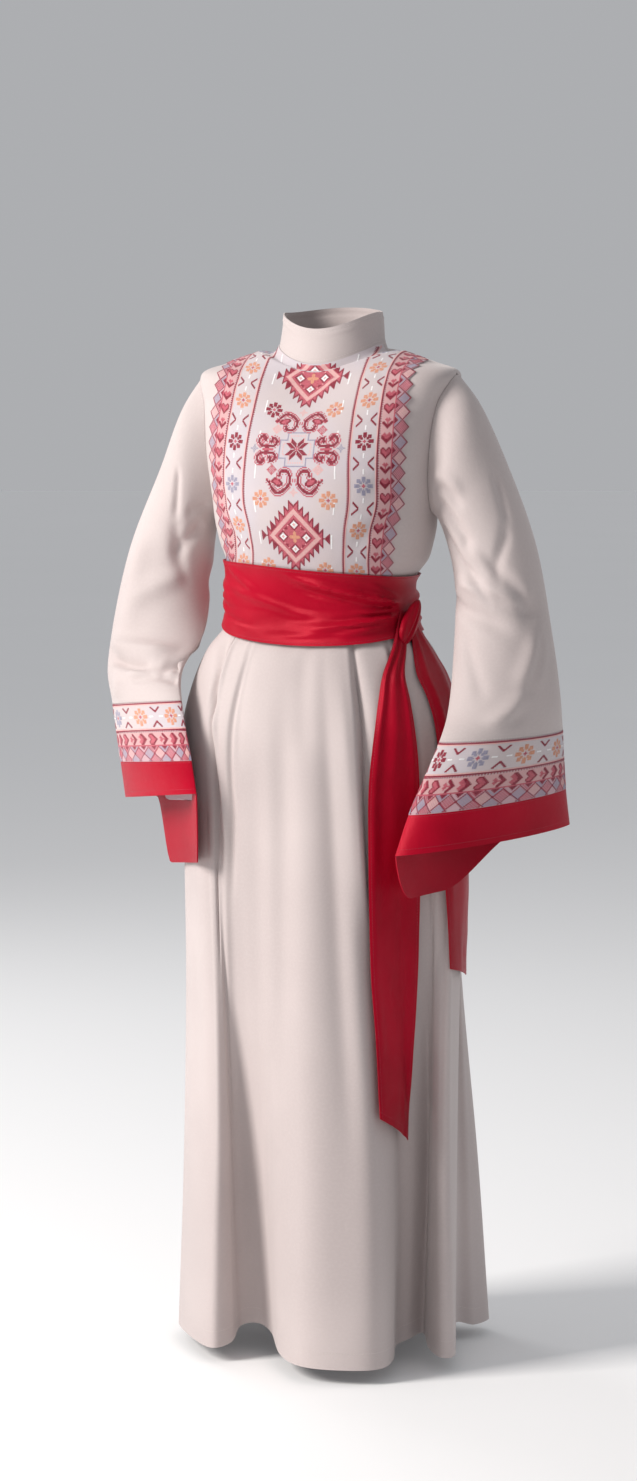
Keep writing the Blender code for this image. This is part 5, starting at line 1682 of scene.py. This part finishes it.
def satin_material():
    """Red satin: close floats along one direction, a sheen, and slow changes of tone."""
    nodes = Nodes("red_satin")
    uv = nodes.add("ShaderNodeTexCoord").outputs["UV"]
    place = nodes.add("ShaderNodeTexCoord").outputs["Object"]
    floats = threads(nodes, uv, 0.00055)
    long_way = nodes.add("ShaderNodeMapping", Vector=uv, Scale=(1.0, 0.06, 1.0))
    slub = nodes.noise(long_way.outputs[0], 1500.0, 3.0, 0.6)
    tone = nodes.between(nodes.noise(place, 5.0, 3.0), 0.34, 0.68)
    colour = nodes.mix(tone, (0.270, 0.0012, 0.011, 1), (0.400, 0.0026, 0.019, 1))
    bright = nodes.math("MULTIPLY", nodes.between(slub, 0.35, 0.75), 0.25)
    colour = nodes.mix(bright, colour, (0.50, 0.006, 0.030, 1))
    roughness = nodes.math("ADD", nodes.math("MULTIPLY", slub, 0.14), 0.26)
    wide = nodes.bump(nodes.noise(place, 18.0, 3.0), 0.005, 0.28)
    relief = nodes.math("ADD", nodes.math("MULTIPLY", floats, 0.5), slub)
    normal = nodes.bump(relief, 0.00012, 0.6, wide)
    material = nodes.finish(colour, roughness, normal, 0.08, 0.35, (1.0, 0.15, 0.20, 1))
    nodes.shader.inputs["Specular Tint"].default_value = (1.0, 0.10, 0.14, 1)
    nodes.shader.inputs["Anisotropic"].default_value = 0.35
    return material


def floss_material(name, colour, deep):
    """Cotton floss: strands along the stitch, a painted highlight on each strand's raised middle, and a
    little change of shade from stitch to stitch.
    """
    nodes = Nodes(name)
    uv = nodes.add("ShaderNodeTexCoord").outputs["UV"]
    place = nodes.add("ShaderNodeTexCoord").outputs["Object"]
    strands = threads(nodes, uv, 0.00022)
    shade = nodes.between(nodes.noise(place, 420.0, 1.0), 0.30, 0.70)
    base = nodes.mix(shade, (*deep, 1), (*colour, 1))
    # Painted highlight: the colour is lighter where each strand rises, in step with its bump
    raised = nodes.math("MULTIPLY", nodes.between(strands, -1.0, 1.0), 0.2)
    base = nodes.mix(raised, base, (*[min(1.0, part * 1.25) for part in colour], 1))
    normal = nodes.bump(strands, 0.00008, 0.7)
    return nodes.finish(base, 0.62, normal, 0.3, 0.4)


def floor_material():
    """A pale floor that gives back as much light far away as the room behind it."""
    nodes = Nodes("pale_floor")
    place = nodes.add("ShaderNodeTexCoord").outputs["Object"]
    tone = nodes.noise(place, 0.6, 2.0)
    low = FLOOR_WHITE - 0.02
    colour = nodes.mix(tone, (low, low, low, 1), (FLOOR_WHITE, FLOOR_WHITE, FLOOR_WHITE, 1))
    normal = nodes.bump(nodes.noise(place, 60.0, 3.0), 0.0004, 0.3)
    nodes.shader.inputs["Emission Color"].default_value = (*ROOM_COLOUR, 1)
    nodes.shader.inputs["Emission Strength"].default_value = ROOM_LIGHT * (1 - FLOOR_WHITE)
    return nodes.finish(colour, 0.7, normal)


def make_stage():
    signs = ((-1, -1), (1, -1), (1, 1), (-1, 1))
    corners = [(x * FLOOR_SIZE, y * FLOOR_SIZE, FLOOR_HEIGHT) for x, y in signs]
    mesh = bpy.data.meshes.new("floor")
    mesh.from_pydata(corners, [], [(0, 1, 2, 3)])
    mesh.materials.append(floor_material())
    floor = bpy.data.objects.new("floor", mesh)
    bpy.context.scene.collection.objects.link(floor)


def add_area_light(name, place, target, size, power, colour):
    data = bpy.data.lights.new(name, "AREA")
    data.shape = "RECTANGLE"
    data.size, data.size_y = size
    data.energy = power
    data.color = colour
    light = bpy.data.objects.new(name, data)
    light.location = place
    aim = mathutils.Vector(target) - mathutils.Vector(place)
    light.rotation_euler = aim.to_track_quat("-Z", "Y").to_euler()
    bpy.context.scene.collection.objects.link(light)


def make_lights():
    world = bpy.data.worlds.new("studio")
    world.use_nodes = True
    background = world.node_tree.nodes["Background"]
    background.inputs["Color"].default_value = (*ROOM_COLOUR, 1)
    background.inputs["Strength"].default_value = ROOM_LIGHT
    bpy.context.scene.world = world
    for name, place, size, power, colour in LIGHTS:
        add_area_light(name, place, LIGHT_TARGET, size, power, colour)


def make_camera():
    """A camera turned to the wearer's left, at chest height, with the photograph's frame."""
    data = bpy.data.cameras.new("camera")
    data.sensor_width = SENSOR
    data.lens = SENSOR * PIXELS_PER_METRE * CAMERA_DISTANCE / IMAGE_HEIGHT
    data.clip_end = 60
    right = np.array([math.cos(VIEW_TURN), math.sin(VIEW_TURN), 0])
    back = np.array([math.sin(VIEW_TURN), -math.cos(VIEW_TURN), 0])
    aim = right * AIM_RIGHT + np.array([0, 0, AIM_HEIGHT])
    place = right * AIM_RIGHT + back * CAMERA_DISTANCE + np.array([0, 0, CAMERA_HEIGHT])
    camera = bpy.data.objects.new("camera", data)
    camera.location = place
    camera.rotation_euler = mathutils.Vector(aim - place).to_track_quat("-Z", "Y").to_euler()
    bpy.context.scene.collection.objects.link(camera)
    bpy.context.scene.camera = camera


def main():
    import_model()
    materials = {"crepe": crepe_material(), "ground": ground_material(), "satin": satin_material()}
    for name, colour, deep in THREADS.values():
        materials[name] = floss_material(name + "_floss", colour, deep)
    make_bodice(materials)
    make_panel(materials)
    crepe_seams = make_collar_shell(materials)
    satin_seams = []
    for side in ("left", "right"):
        crepe, satin = make_sleeve_shells(side, materials)
        make_trim_stitches(side, materials)
        crepe_seams += crepe
        satin_seams += satin
    crepe_seams += make_skirt_shells(materials)
    satin_seams += make_sash_shell(materials)
    satin_seams += make_tail_shell("front", materials)
    satin_seams += make_tail_shell("back", materials)
    make_knot_shell(materials)
    cream = floss_material("cream_thread", (0.62, 0.56, 0.54), (0.52, 0.46, 0.44))
    red = floss_material("red_thread", (0.42, 0.010, 0.035), (0.30, 0.006, 0.024))
    stitch_piece("seam_stitches_crepe", crepe_seams, SEAM_STITCH, cream)
    stitch_piece("seam_stitches_satin", satin_seams, SEAM_STITCH, red)
    make_stage()
    make_lights()
    make_camera()
    bpy.context.scene.view_settings.view_transform = "Standard"


main()
